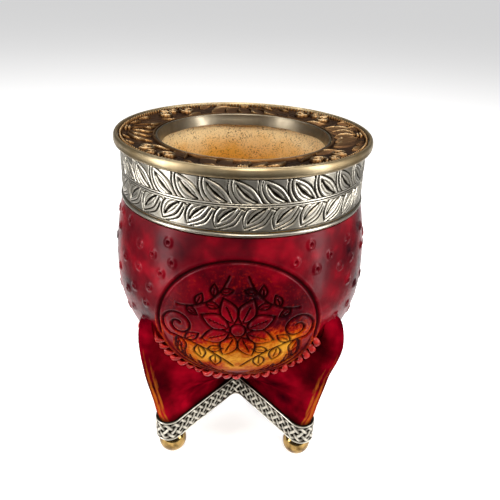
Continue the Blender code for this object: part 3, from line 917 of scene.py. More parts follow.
def petal(relief, across, out, root, end, bulge, half_width):
    """A bowl-shaped petal that rises to its left edge, where its pale rib is highest, painted lighter on its
    high side.
    """
    share, side = along_curve(across, out, bow(root, end, bulge))
    inside = half_width * np.sin(math.pi * np.clip(share, 0.01, 1) ** 1.15) ** 0.75 - np.abs(side)
    slant = np.clip(0.5 + 0.5 * side / half_width, 0, 1)
    rib = ridge(inside - 0.34, 0.38) * (0.12 + 0.88 * slant ** 1.5)
    bowl = (0.16 + 0.62 * slant) * smooth(inside, 0.1, 0.9)
    # Painted light: the tone follows the slant, lighter on the high side and darker on the low side
    return stamp(relief, inside, np.maximum(rib, bowl), 0.28 + 0.22 * slant + 0.5 * rib ** 2, 0.5)


print("a point 40 mm out, 45 degrees from a fan:", [round(v, 2) for v in polar(40.0, 45.0)])

# %% [markdown]
# The tile is one quarter of the rim, unrolled. What lies on it is placed by its radius and its angle
# from the fan's own direction, as it could be read off a real rim with a ruler and a protractor. The
# outer petals are stamped first and the middle one last, so that they overlap towards the middle.

# %% Rim tile
def rim_tile():
    """One fan with its flower, curls and pearls."""
    pitch = 2 * math.pi * FLANGE_OUT_R / FANS
    wide = FLANGE_OUT_R - FLANGE_IN_R
    x, y = np.meshgrid(np.linspace(0, pitch, round(pitch / RIM_GRID) + 1),
                       np.linspace(0, wide, round(wide / RIM_GRID) + 1))
    angle = (x / pitch - 0.5) * 2 * math.pi / FANS
    radius = FLANGE_OUT_R - y
    across, out = radius * np.sin(angle), radius * np.cos(angle)
    relief = 0.12 + 0.06 * np.sin(across * 2.2) * np.sin(out * 2.5), np.full_like(x, 0.12)
    for sign in (-1, 1):
        # The curl beside the fan, its long leaf to the mouth and the short leaves by the bead
        cx, cy = polar(38.2, 36.6 * sign)
        curl = spiral(cx, cy, 3.0, 0.5, 90 - 60 * sign, -480 * sign, 120)
        side = along_curve(across, out, curl)[1]
        relief = stamp(relief, 0.6 - np.abs(side), ridge(side, 0.6), 0.3 + 0.7 * ridge(side, 0.5) ** 2)
        relief = petal(relief, across, out, polar(36.0, 29.5 * sign), polar(32.2, 43.5 * sign),
                       -1.2 * sign, 1.5)
        for turn_deg in (13.0, 23.0):
            relief = petal(relief, across, out, polar(41.7, (turn_deg - 3.6) * sign),
                           polar(39.4, (turn_deg + 4.0) * sign), 0.7 * sign, 1.2)
    for k in (-2, 2, -1, 1, 0):
        relief = petal(relief, across, out, polar(40.0, 2.6 * k), polar(31.8 + 0.2 * k * k, 11.6 * k),
                       0.5 * k, 2.55)
    # The bud between two fans is halved by the tile's ends
    end_x, end_y = polar(40.0, 180 / FANS)
    bud = np.hypot(across - np.where(across > 0, end_x, -end_x), out - end_y)
    relief = stamp(relief, 2.0 - bud, np.maximum(ridge(bud, 0.8), 0.85 * ridge(bud - 1.45, 0.45)),
                   0.2 + 0.7 * np.maximum(ridge(bud, 0.7), ridge(bud - 1.45, 0.35)))
    fx, fy = polar(41.2, 0)
    flower = np.hypot(across - fx, out - fy)
    relief = stamp(relief, 2.2 - flower, 0.0 * x, 0.0 * x, 0.1)
    lobes = ridge(flower, 0.6)
    for k in range(6):
        px = fx + 1.25 * math.cos(math.radians(60 * k))
        py = fy + 1.25 * math.sin(math.radians(60 * k))
        lobes = np.maximum(lobes, ridge(np.hypot(across - px, out - py), 0.62))
    height = np.maximum(relief[0], lobes)
    tone = np.maximum(relief[1], 0.25 * (lobes > 0) + 0.7 * lobes ** 2)
    pearl_pitch = pitch / PEARLS
    pearl = ridge(np.hypot((x + pearl_pitch / 2) % pearl_pitch - pearl_pitch / 2, y - 0.62), 0.56)
    height = np.where(y < 1.25, 0.9 * pearl, height)
    tone = np.where(y < 1.25, 0.1 + 0.8 * pearl ** 2, tone)
    lip = smooth(y, wide - 0.75, wide - 0.5)
    height = height * (1 - lip) + 0.8 * lip
    tone = tone * (1 - lip) + 0.5 * lip
    top = FLANGE_T - FLANGE_DISH * y / wide
    front = top + 0.2 - RIM_RELIEF * (1 - height)
    return relief_tile("rim_tile", x, y, front, 0.0, tone)


rim_path = level_circle(FLANGE_OUT_R, HEIGHT - FLANGE_T - GAP, -90 - 180 / FANS)
rim = wrap_tiles("rim_relief", rim_tile(), rim_path, FANS, True, rim_bronze)
place(rim, "chased_silver", "rim_flange")

# %% [markdown]
# ## The star base
# Four folded leather fins stand on the diagonals. Every level section is the same outline with other
# numbers: a round fold at the tip, a flank, and a soft valley where two flanks meet. The numbers come
# from a short list of stations, with straight runs between them. Near the foot the middle of each
# section is lifted, which opens the arches between the legs, and the knees lean a little to one side.

# %% Base sections
FOOT_Z = BALL_TOP_Z + GAP
FOOT_LIFT = 7.0
LIFT_FREE_Z, LIFT_FULL_Z = 32.0, 18.0
VALLEY_FILLET = 4.0
KNEE_LEAN = 1.3
# Height, reach along the diagonal, radius of the folded edge, and flare towards the body
FIN_STATIONS = (
    (FOOT_Z, 40.4, 4.2, 0.00),
    (18.0, 40.5, 4.2, 0.00),
    (22.0, 41.9, 3.7, 0.03),
    (27.0, 42.9, 3.3, 0.10),
    (32.0, 44.1, 3.1, 0.27),
    (36.0, 45.1, 3.0, 0.56),
    (40.0, 46.0, 3.0, 0.80),
    (44.0, 46.8, 3.0, 0.58),
    (50.0, 48.4, 3.0, 0.33),
    (54.0, 49.2, 3.2, 0.20),
    (57.0, 49.5, 3.6, 0.20),
    (59.5, 49.3, 4.3, 0.20),
    (62.0, 48.7, 5.1, 0.20),
    (64.0, 47.9, 5.8, 0.20),
    (66.0, 46.6, 6.5, 0.20),
    (68.0, 44.9, 7.2, 0.20),
    (70.0, 42.6, 7.8, 0.20),
)
STATION_Z, STATION_REACH, STATION_EDGE, STATION_FLARE = np.array(FIN_STATIONS).T
FIN_TOP = STATION_Z[-1]


def station_at(height):
    """Reach, edge radius and flare at a height, the flare averaged over 8 mm so that it changes softly."""
    nearby = np.clip(height + np.linspace(-4.0, 4.0, 9), FOOT_Z, FIN_TOP)
    flare = np.interp(nearby, STATION_Z, STATION_FLARE).mean()
    return np.interp(height, STATION_Z, STATION_REACH), np.interp(height, STATION_Z, STATION_EDGE), flare


print("reach, edge and flare at the knees:", [round(float(v), 2) for v in station_at(58.0)])

# %% [markdown]
# The outline of one fin is half a fold with its flank, mirrored to the other side, and the soft valley
# that leads to the next fin. Turns by a right angle give the other three fins.

# %% Outlines of the star
def knee_shift(height):
    """The knees lean a little to one side, as the hand folding left them."""
    return KNEE_LEAN * smooth(height, 40.0, 58.0)


def fin_outline(reach, edge_r, flare, offset):
    """One level outline of the star, moved out by offset, counter-clockwise."""
    slope = math.atan(flare)
    centre = reach - edge_r
    radius = edge_r + offset
    valley = (radius / math.cos(slope) + flare * centre) / (1 + flare)
    tangent = np.array([centre + radius * math.sin(slope), radius * math.cos(slope)])
    corner = np.array([valley, valley])
    run = np.linalg.norm(tangent - corner)
    near_corner = corner + (tangent - corner) * min(0.45, VALLEY_FILLET / run)
    half = [(centre + radius * math.cos(a), radius * math.sin(a))
            for a in np.linspace(0, math.pi / 2 - slope, 9)]
    half += [tangent + (near_corner - tangent) * t for t in np.linspace(0, 1, 15)[1:]]
    end = near_corner[::-1]
    bend = [(1 - t) ** 2 * near_corner + 2 * t * (1 - t) * corner + t ** 2 * end
            for t in np.linspace(0, 1, 9)[1:-1]]
    arm = np.array([(p[0], -p[1]) for p in reversed(half[1:])] + [tuple(p) for p in half + bend])
    outline = []
    for quarter in range(4):
        angle = math.radians(45 + 90 * quarter)
        along = np.array([math.cos(angle), math.sin(angle)])
        across = np.array([-along[1], along[0]])
        outline.append(arm[:, :1] * along + arm[:, 1:] * across)
    return np.vstack(outline)


def fin_row(height, offset, station_height=None):
    """One row of the base's skin: the outline at a height, its middle raised where it is near the foot."""
    reach, edge_r, flare = station_at(height if station_height is None else station_height)
    outline = fin_outline(reach, edge_r, flare, offset)
    inward = 1 - np.hypot(outline[:, 0], outline[:, 1]) / (reach + offset)
    fade = min(1.0, max(0.0, (LIFT_FREE_Z - height) / (LIFT_FREE_Z - LIFT_FULL_Z)))
    outline[:, 0] += knee_shift(height)
    return np.column_stack([outline, height + FOOT_LIFT * inward * fade])


print("points in one section:", len(fin_row(FOOT_Z, 0)))

# %% [markdown]
# Now the sections are joined to one skin, and cutters take away what the other parts need: the seat in
# which the body lies, and four round windows in front of the seams. In Blender that is a Boolean
# modifier for each cutter. The cutters are closed skins themselves, or the cut would fail. One long
# cylinder makes two windows that face each other.

# %% Cut the base
levels = np.linspace(FOOT_Z, FIN_TOP, 80)
base = capped("base_fins", [fin_row(z, 0.0) for z in levels],
              (0, 0, FOOT_Z + FOOT_LIFT), (0, 0, FIN_TOP), fin_leather)
seat_rows = turn_points(body_profile(GAP, NECK_Z, 60, 20)[1:], np.arange(200) * math.pi / 100)
cutters = [capped("cutter_seat", list(seat_rows), (0, 0, BELLY_Z - BELLY_DEPTH - GAP), (0, 0, NECK_Z))]
window_angles = np.arange(160) * math.pi / 80
disc = np.stack([MEDALLION_R * np.cos(window_angles), MEDALLION_R * np.sin(window_angles)], -1)
for name, turn in (("cutter_y", 0), ("cutter_x", 1)):
    rows = []
    for depth_y in (60.0, -60.0):
        ring = np.column_stack([disc[:, 0], np.full(len(disc), depth_y), disc[:, 1] + MEDALLION_Z])
        rows.append(ring if turn == 0 else np.column_stack([-ring[:, 1], ring[:, 0], ring[:, 2]]))
    tips = [tuple(row.mean(0)) for row in rows]
    cutters.append(capped(name, rows, *tips))
for cutter in cutters:
    cut = base.modifiers.new(cutter.name, "BOOLEAN")
    cut.operation = "DIFFERENCE"
    cut.solver = "MANIFOLD"
    cut.object = cutter
depsgraph = bpy.context.evaluated_depsgraph_get()
cut_mesh = bpy.data.meshes.new_from_object(base.evaluated_get(depsgraph), depsgraph=depsgraph)
for cutter in cutters:
    bpy.data.objects.remove(cutter, do_unlink=True)
base.modifiers.clear()
base.data = cut_mesh
print("base after the cuts:", len(cut_mesh.vertices), "points")

# %% [markdown]
# The fold of each fin is worn to orange in two lines, more so towards the foot. Beside the fold and
# above the plaited band the leather is painted darker as painted shade, and the underside is raw brown
# hide. All of this is read from where a point lies: its way along the skin from the tip of the fold, its
# height over the band, and whether its face looks down.

# %% Wear on the base
# Middle, half width and strength of each line of wear, in mm from the tip of the fold
WEAR_LINES = ((3.0, 0.5, 1.0), (1.2, 0.7, 0.9), (0.0, 2.4, 0.3))
# Where the painted shade beside the fold lies, its half width, and how far over the band it reaches, in mm
SHADE_BESIDE_FOLD_AT, SHADE_BESIDE_FOLD_HALF, SHADE_OVER_BAND = 6.5, 2.2, 3.5


def mark_base(mesh):
    """Write the worn, raw, cut and dye attributes on the base's points."""
    count = len(mesh.vertices)
    co = np.zeros(count * 3)
    mesh.vertices.foreach_get("co", co)
    co = co.reshape(-1, 3) / MM
    co[:, 0] -= knee_shift(co[:, 2])
    normal = np.zeros(count * 3)
    mesh.vertices.foreach_get("normal", normal)
    normal = normal.reshape(-1, 3)
    reach = np.interp(co[:, 2], STATION_Z, STATION_REACH)
    edge_r = np.interp(co[:, 2], STATION_Z, STATION_EDGE)
    along = (np.abs(co[:, 0]) + np.abs(co[:, 1])) / math.sqrt(2)
    across = np.abs(np.abs(co[:, 0]) - np.abs(co[:, 1])) / math.sqrt(2)
    past = along - (reach - edge_r)
    from_fold = np.where(past > 0, edge_r * np.arctan2(across, np.maximum(past, 1e-6)),
                         edge_r * math.pi / 2 - past)
    line = sum(strength * np.exp(-((from_fold - middle) / half) ** 2)
               for middle, half, strength in WEAR_LINES)
    low = 1 - smooth(co[:, 2], 24, 60)
    raw = smooth(-normal[:, 2], 0.55, 0.75) * (co[:, 2] < 17.5)
    # Painted shade: darker beside the fold and above the plaited band
    inward = np.clip(1 - np.hypot(co[:, 0], co[:, 1]) / reach, 0, 1)
    fade = np.clip((LIFT_FREE_Z - co[:, 2]) / (LIFT_FREE_Z - LIFT_FULL_Z), 0, 1)
    above_band = co[:, 2] - FOOT_LIFT * inward * fade - (BRAID_LOW + BRAID_H)
    base_painted_shade = 0.5 * np.exp(-((from_fold - SHADE_BESIDE_FOLD_AT) / SHADE_BESIDE_FOLD_HALF) ** 2)
    base_painted_shade += 0.6 * (1 - smooth(above_band, 0, SHADE_OVER_BAND))
    fields = {"worn": line * (0.35 + 0.9 * low), "raw": raw, "cut": np.clip(base_painted_shade, 0, 0.75),
              "dye": np.zeros(count)}
    for key, values in fields.items():
        layer = mesh.attributes.new(key, "FLOAT", "POINT")
        layer.data.foreach_set("value", values.astype(np.float32))


mark_base(base.data)
base.data.shade_smooth()
base.data.set_sharp_from_angle(angle=math.radians(42))
place(base, "red_leather", "base_leather")

# %% [markdown]
# ## The plaited band
# The band that hems the foot is a flat plait of four strands between two plain borders. A strand
# swings from edge to edge, and rises and dips three times as often, so that it goes over one
# neighbour and under the next. The four strands are the same curve, a quarter of its length apart,
# so a tile of a quarter period repeats without a seam.

# %% Plait
STRANDS = 4
PLAIT_PITCH = 3.05
STRAND_HALF = 0.52
BORDER = 0.9
PLAIT_GRID = 0.19
PLAIT_RELIEF = 0.6
STRAIGHTNESS = 0.97
LAYER_MIDDLE, LAYER_SWING, STRAND_ROUND = 0.5, 0.28, 0.3


def plait_tile(pitch):
    """A quarter period of the plait."""
    x, y = np.meshgrid(np.linspace(0, pitch, round(pitch / PLAIT_GRID) + 1),
                       np.linspace(0, BRAID_H, round(BRAID_H / PLAIT_GRID) + 1))
    middle = BRAID_H / 2
    swing = middle - BORDER - STRAND_HALF - 0.1
    height = np.zeros_like(x)
    for strand in range(STRANDS):
        phase = 2 * math.pi * (x / pitch + strand) / STRANDS
        weave = np.arcsin(STRAIGHTNESS * np.sin(phase)) / math.asin(STRAIGHTNESS)
        slope = np.gradient(weave * swing, x[0], axis=1)
        distance = (y - middle - swing * weave) / np.sqrt(1 + slope ** 2)
        layer = LAYER_MIDDLE + LAYER_SWING * np.cos(3 * phase)
        strand_height = layer + STRAND_ROUND * ridge(distance, STRAND_HALF)
        height = np.maximum(height, np.where(np.abs(distance) < STRAND_HALF, strand_height, 0))
    edge = np.minimum(y, BRAID_H - y)
    height = np.where(edge < BORDER, 0.85 * ridge(edge - BORDER / 2, BORDER / 2 + 0.03), height)
    height = np.where(edge < 0.02, 0.3, height)
    return relief_tile("plait_tile", x, y, 0.1 + PLAIT_RELIEF * height, -0.35, tone_of(height))


braid_path = fin_row(BRAID_LOW, GAP + BRAID_T / 2, FOOT_Z)
fine_path = []
for start, end in zip(braid_path, np.roll(braid_path, -1, 0)):
    fine_path += [start, (start + end) / 2]
plait_count = round(path_length(fine_path) / PLAIT_PITCH)
print("tiles in the plait:", plait_count)
plait = wrap_tiles("plaited_band", plait_tile(path_length(fine_path) / plait_count), fine_path,
                   plait_count, False, plait_silver)
place(plait, "chased_silver", "braid_band")

# %% [markdown]
# ## The leather body
# Wet leather was drawn over the gourd, so it follows the gourd's swelling. In front the maker has
# carved a round medallion: a cut ring above, and below it a rolled welt that the lace holds.
# The tooled design is a rosette between two leafy scrolls, with short bowed cuts along the lower edge.
# It could be a picture, but then it would be flat. Here each cut is a curve with a half width, and the
# leather is pressed in along it.

# %% Tooled design
ROSE, PETAL_START, PETAL_LENGTH, PETAL_HALF = (0.0, 2.5), 3.2, 9.6, 2.9
HAIRS = 26


def petal_sides(centre, angle_deg, start, length, half_width, count=26):
    """The two sides and the vein of a petal that grows from a centre."""
    t = np.linspace(0, 1, count)
    half = half_width * np.sin(math.pi * t ** 0.85)
    reach = start + length * t
    angle = math.radians(angle_deg)
    along = np.array([math.cos(angle), math.sin(angle)])
    across = np.array([-math.sin(angle), math.cos(angle)])
    sides = []
    for sign in (-1, 1):
        sides.append(np.array(centre) + reach[:, None] * along + sign * half[:, None] * across)
    vein = np.array(centre) + (start + length * np.linspace(0.12, 0.68, 14))[:, None] * along
    return sides, vein


def tooled_strokes():
    """All cuts of the medallion as (curve, half width), in its own plane with its centre at 0, 0."""
    strokes = []
    ring_angles = np.radians(np.linspace(-12, 192, 240))
    ring_r = MEDALLION_R - 2.9
    strokes.append((np.stack([ring_r * np.cos(ring_angles), ring_r * np.sin(ring_angles)], -1), 0.55))
    circle = np.linspace(0, 2 * math.pi, 40)
    strokes.append((np.stack([ROSE[0] + 2.5 * np.cos(circle), ROSE[1] + 2.5 * np.sin(circle)], -1), 0.45))
    for k in range(8):
        sides, vein = petal_sides(ROSE, 22.5 + 45 * k, PETAL_START, PETAL_LENGTH, PETAL_HALF)
        strokes += [(side, 0.45) for side in sides] + [(vein, 0.3)]
    for sign in (-1, 1):
        curl = spiral(19.6 * sign, 1.5, 6.0, 1.2, 90 - 150 * sign, 540 * sign, 90)
        strokes.append((curl, 0.46))
        stem = bow(curl[0], (1.4 * sign, -16.5), -3.0 * sign, 50)
        spray = bow((19.6 * sign, 9.4), (3.0 * sign, 21.8), 3.4 * sign, 50)
        strokes += [(stem, 0.5), (spray, 0.42)]
        for vine, share, lean, length in ((stem, 0.1, 58, 6.6), (stem, 0.38, 54, 7.2), (stem, 0.66, 50, 7.0),
                                          (stem, 0.2, -54, 6.0), (stem, 0.52, -52, 5.6),
                                          (spray, 0.12, 44, 4.4), (spray, 0.42, 42, 4.6),
                                          (spray, 0.72, 40, 4.2), (spray, 0.28, -46, 4.6),
                                          (spray, 0.6, -44, 4.4)):
            spot_on = vine[int(share * 49)]
            run = vine[int(share * 49) + 1] - spot_on
            heading = math.degrees(math.atan2(run[1], run[0])) + lean * sign
            sides, vein = petal_sides(spot_on, heading, 0.4, length, 0.27 * length)
            strokes += [(side, 0.38) for side in sides] + [(vein, 0.24)]
    start_r = MEDALLION_R - 5.6
    for k in range(HAIRS):
        angle = math.radians(213 + 114 * k / (HAIRS - 1))
        length = 7.6 + 2.4 * math.sin(2.4 * k) + 1.4 * math.sin(5.1 * k)
        start = (start_r * math.cos(angle), start_r * math.sin(angle))
        way = 1 if k < HAIRS / 2 else -1
        lean = angle + way * math.radians(58)
        end = (start[0] - length * math.cos(lean), start[1] - length * math.sin(lean))
        strokes.append((bow(start, end, 0.9 * way, 40), 0.3))
    return strokes


design = tooled_strokes()
print("cuts in the medallion:", len(design))

# %% [markdown]
# Between its cuts each petal of the rosette is pressed up from behind, so it swells, and so does its
# round middle. The same numbers that drew the petals say where.

# %% Swell of the petals
def petal_swell(u, v):
    """How far the rosette swells: up to 1 on its petals and 2 in its round middle."""
    radius = np.hypot(u - ROSE[0], v - ROSE[1])
    angle = np.arctan2(v - ROSE[1], u - ROSE[0])
    share = np.clip((radius - PETAL_START) / PETAL_LENGTH, 0, 1)
    off = (angle - math.radians(22.5) + math.pi / 8) % (math.pi / 4) - math.pi / 8
    half = PETAL_HALF * np.sin(math.pi * share ** 0.85)
    outer_r = PETAL_START + PETAL_LENGTH
    return ridge(radius * np.abs(off), np.maximum(half, 0.01)) * (radius < outer_r) + ridge(radius, 2.4)


print("swell at the rosette's middle:", petal_swell(*ROSE))

# %% [markdown]
# The leather starts as an even grid over the body, much finer in front, so that the cuts are real
# geometry there. The rows that the base hides are few. Each point also gets the direction in which the
# leather faces, because all relief pushes points along it.

# %% Body grid
def even_profile(spacing, low_z):
    """Points of the body's outline from a height up to the neck, evenly spaced."""
    curve = np.array([p for p in body_profile(0.0, NECK_Z, 400, 200) if p[1] >= low_z])
    length = np.concatenate([[0], np.cumsum(np.linalg.norm(np.diff(curve, axis=0), axis=1))])
    marks = np.linspace(0, length[-1], round(length[-1] / spacing) + 1)
    return np.column_stack([np.interp(marks, length, curve[:, 0]), np.interp(marks, length, curve[:, 1])])


FRONT_HALF = math.radians(46)
FRONT_STEP = math.radians(0.37)
SIDE_STEP = math.radians(0.96)
front_angles = np.arange(-FRONT_HALF, FRONT_HALF, FRONT_STEP)
side_angles = np.linspace(FRONT_HALF, 2 * math.pi - FRONT_HALF,
                          round((2 * math.pi - 2 * FRONT_HALF) / SIDE_STEP) + 1)[:-1]
body_angles = np.concatenate([front_angles, side_angles]) - math.pi / 2
hidden = [(BELLY_R * math.sin(a), BELLY_Z - BELLY_DEPTH * math.cos(a)) for a in np.radians([7, 14, 21, 28])]
outer = np.vstack([hidden, even_profile(0.46, 38.2)])
inner = [(float(body_radius(z)) - LEATHER_T, z) for z in (NECK_Z - 0.2, 90.0, 76.0, 60.0, 45.0)]
inner.append((24.0, 37.0))
skin = turn_points(outer, body_angles)

slope_r, slope_z = np.gradient(outer[:, 0]), np.gradient(outer[:, 1])
slope_len = np.hypot(slope_r, slope_z)
out_r, out_z = (slope_z / slope_len)[:, None], (-slope_r / slope_len)[:, None]
skin_normal = np.stack([out_r * np.cos(body_angles), out_r * np.sin(body_angles),
                        np.repeat(out_z, len(body_angles), 1)], -1)

print("body grid:", skin.shape[:2])

# %% [markdown]
# **Tooling.** A wet hide is cut with a swivel knife and pressed down beside the cut. The bottom of a cut
# lies lower and a small lip rises along it. Both are measured by the distance from the nearest curve of
# the design, with u and v as places in the medallion's plane.

# %% Tool the medallion
CUT_DEPTH, LIP_H, PETAL_H = 0.5, 0.11, 0.5
STROKE_REACH = 1.4
u, v = skin[..., 0], skin[..., 2] - MEDALLION_Z
in_front = skin[..., 1] < 0
from_centre = np.hypot(u, v)
lift = np.zeros_like(u)
cut_mark = np.zeros_like(u)
lip_mark = np.zeros_like(u)
work = in_front & (from_centre < MEDALLION_R + 2)
uw, vw = u[work], v[work]
cut_w, lip_w = np.zeros_like(uw), np.zeros_like(uw)
for stroke, half_width in design:
    low_corner, high_corner = stroke.min(0) - STROKE_REACH, stroke.max(0) + STROKE_REACH
    near = (uw > low_corner[0]) & (uw < high_corner[0]) & (vw > low_corner[1]) & (vw < high_corner[1])
    if near.any():
        distance = np.abs(along_curve(uw[near], vw[near], stroke)[1])
        cut_w[near] = np.maximum(cut_w[near], 1 - smooth(distance, 0.3 * half_width, 1.5 * half_width))
        lip_w[near] = np.maximum(lip_w[near], np.exp(-((distance - 1.9 * half_width) / 0.3) ** 2))
lift[work] = -CUT_DEPTH * cut_w + LIP_H * lip_w * (1 - cut_w) + PETAL_H * petal_swell(uw, vw) * (1 - cut_w)
cut_mark[work] = cut_w
lip_mark[work] = lip_w * (1 - cut_w)
print("deepest cut in mm:", round(float(-lift.min()), 2))

# %% [markdown]
# ** Swelling and welt.** The skin bulges where the top of a fin lies under it, outside the round windows,
# and blends into the bulge softly. Along the lower half of the medallion a thin welt is rolled up inside
# the seam, with a dark line of painted shade at its inner foot, and the lower edge is made darker and
# browner.

# %% Bulges and welt
WELT_H, WELT_IN, WELT_HALF = 0.5, 3.3, 0.8
WELT_SHADE_IN, WELT_SHADE_HALF = 4.3, 0.25
SKIN_OVER_FIN, BLEND_MM, BULGE_ROUND = 1.2, 6.0, 3.0
knee_x = skin[..., 0] - knee_shift(skin[..., 2])
turn_by = np.abs((np.arctan2(skin[..., 1], knee_x) + 2 * math.pi) % (math.pi / 2) - math.pi / 4)
skin_r = np.hypot(knee_x, skin[..., 1])
fin_side = skin_r * np.sin(turn_by)
edge_at = np.interp(skin[..., 2], STATION_Z, STATION_EDGE)
fin_at = np.interp(skin[..., 2], STATION_Z, STATION_REACH, right=40.0) - edge_at
fin_at = fin_at + np.sqrt(np.clip(edge_at ** 2 - fin_side ** 2, 0, None)) - SKIN_OVER_FIN
blend = np.clip(0.5 + (fin_at - skin_r) / BLEND_MM, 0, 1)
window = np.minimum(np.hypot(skin[..., 0], v), np.hypot(skin[..., 1], v))
bulge = np.where(blend > 0, BULGE_ROUND * blend * (1 - blend) + (fin_at - skin_r) * blend, 0)
lift += bulge * smooth(window, MEDALLION_R - 0.8, MEDALLION_R + 1.4) * (skin[..., 2] > 50)
below = smooth(-v, 3, 7) * in_front
welt = ridge(from_centre - (MEDALLION_R - WELT_IN), WELT_HALF) * below
lift += WELT_H * welt
# Painted shade: a dark line at the welt's inner foot
welt_foot_painted_shade = np.exp(-((from_centre - (MEDALLION_R - WELT_SHADE_IN)) / WELT_SHADE_HALF) ** 2) * below
# The medallion is made darker and browner towards its lower edge
lower_edge_darkening = smooth(from_centre, 19.0, 25.0) * smooth(-v, 3, 12) * in_front
lower_edge_darkening *= from_centre < MEDALLION_R - 0.6
cut_mark = np.maximum(cut_mark, np.maximum(0.8 * welt_foot_painted_shade, 0.42 * lower_edge_darkening))
skin += skin_normal * lift[..., None]
print("highest bulge in mm:", round(float(lift.max()), 2))

# %% [markdown]
# **Dye.** The orange is rubbed in from below, so it fades upwards, a little further up on one side, and
# three spots of it are brighter. The welt and the lips of the cuts catch some of it. Another attribute
# says where quill bumps have room: not on the medallion, nor close to the base and the collar.

# %% Dye and room for quills
GLOWS = ((-9.0, -9.0), (3.0, -11.5), (14.0, -7.5))
within = (1 - smooth(from_centre, 24.0, 29.0)) * in_front
dye = 0.6 * smooth(0.25 * u - v, -8.0, 10.0)
for glow_u, glow_v in GLOWS:
    dye += 0.4 * np.exp(-((u - glow_u) ** 2 + (v - glow_v) ** 2) / 18.0)
dye *= within * (1 - 0.6 * smooth(from_centre, 17.0, 24.5))
dye = np.maximum(dye, 0.1 * within)
welt_dye = 0.4 * welt
edge_dye = 0.45 * lip_mark * smooth(-v, -12, 8)
dye = np.clip(np.maximum(np.maximum(dye, welt_dye), edge_dye), 0, 1)
quill_room = smooth(from_centre, MEDALLION_R + 0.6, MEDALLION_R + 1.6) * in_front + ~in_front
quill_room = np.clip(quill_room, 0, 1) * smooth(skin[..., 2], 46, 52) * (1 - smooth(skin[..., 2], 99, 100.4))

inner_rows = turn_points(inner, body_angles)
inner_count = len(inner) * len(body_angles) + 2
fields = {"cut": cut_mark, "dye": dye, "quill_room": quill_room, "worn": np.zeros_like(u),
          "raw": np.zeros_like(u)}
fields = {key: np.concatenate([values.ravel(), np.zeros(inner_count)]) for key, values in fields.items()}
body_source = capped("body_source", [*skin, *inner_rows], (0, 0, BELLY_Z - BELLY_DEPTH),
                     (0, 0, BELLY_Z - BELLY_DEPTH + LEATHER_T), red_leather, fields)
print("points in the body:", len(body_source.data.vertices))

# %% [markdown]
# Quills leave round bumps in the hide, each with a pit in its middle, a few millimetres apart and never
# in rows. Geometry Nodes scatter points over the body with a least distance between them, measure the
# distance of every mesh point to the nearest one, and raise a ring and sink a pit there. The pit is also
# darkened through the cut attribute, as painted shade. The seed is fixed.

# %% Quill bumps
quills, given = new_tree("quill_bumps", {
    "Spacing": "Float", "Radius": "Float", "Height": "Float", "Seed": "Int", "Finish": "Material"})
room = add(quills, "GeometryNodeInputNamedAttribute", {"Name": "quill_room"}, data_type="FLOAT")
scatter = add(quills, "GeometryNodeDistributePointsOnFaces", {
    "Mesh": given["Geometry"], "Distance Min": given["Spacing"], "Density Max": 60000.0,
    "Density Factor": room.outputs["Attribute"], "Seed": given["Seed"]}, distribute_method="POISSON")
near = add(quills, "GeometryNodeProximity", {"Target": scatter.outputs["Points"]}, target_element="POINTS")
share = add(quills, "ShaderNodeMath", {0: near.outputs["Distance"], 1: given["Radius"]},
            operation="DIVIDE", use_clamp=True)
turn = add(quills, "ShaderNodeMath", {0: share.outputs[0], 1: 2 * math.pi}, operation="MULTIPLY")
wave = add(quills, "ShaderNodeMath", {0: turn.outputs[0]}, operation="COSINE")
ring_up = add(quills, "ShaderNodeMath", {0: 0.5, 1: -0.5, 2: 0.5}, operation="MULTIPLY_ADD")
quills.links.new(wave.outputs[0], ring_up.inputs[0])
pit = add(quills, "ShaderNodeMapRange", {
    "Value": share.outputs[0], "From Max": 0.42, "To Min": 1.0, "To Max": 0.0})
profile_sum = add(quills, "ShaderNodeMath", {0: pit.outputs["Result"], 1: -0.9, 2: ring_up.outputs[0]},
                  operation="MULTIPLY_ADD")
height_by = add(quills, "ShaderNodeMath", {0: profile_sum.outputs[0], 1: given["Height"]},
                operation="MULTIPLY")
normal = add(quills, "GeometryNodeInputNormal")
offset = add(quills, "ShaderNodeVectorMath", {0: normal.outputs[0], "Scale": height_by.outputs[0]},
             operation="SCALE")
raised = add(quills, "GeometryNodeSetPosition", {
    "Geometry": given["Geometry"], "Offset": offset.outputs[0]})
old_cut = add(quills, "GeometryNodeInputNamedAttribute", {"Name": "cut"}, data_type="FLOAT")
# Painted shade: the pit is darkened through the cut attribute
pit_painted_shade = add(quills, "ShaderNodeMath", {0: pit.outputs["Result"], 1: 0.6}, operation="MULTIPLY")
new_cut = add(quills, "ShaderNodeMath", {0: old_cut.outputs["Attribute"], 1: pit_painted_shade.outputs[0]},
              operation="MAXIMUM")
marked = add(quills, "GeometryNodeStoreNamedAttribute", {
    "Geometry": raised.outputs[0], "Name": "cut", "Value": new_cut.outputs[0]}, data_type="FLOAT",
    domain="POINT")
joined = add(quills, "GeometryNodeRealizeInstances", {0: marked.outputs[0]})
finished = add(quills, "GeometryNodeSetMaterial", {
    "Geometry": joined.outputs[0], "Material": given["Finish"]})
add(quills, "NodeGroupOutput", {0: finished.outputs[0]})

body = run_tree("leather_body", body_source, quills, Spacing=6.4 * MM, Radius=2.0 * MM,
                Height=0.42 * MM, Seed=3, Finish=red_leather)
bpy.data.objects.remove(body_source, do_unlink=True)
place(body, "red_leather", "body_leather")

# %% [markdown]
# ## The laced seams
# A flat red lace whips each seam together: short slanted stitches, one beside the next, each diving
# into a hole at both ends. One stitch is a small arched strap, and a seam's path is an arc of the round
# window, laid on the belly.

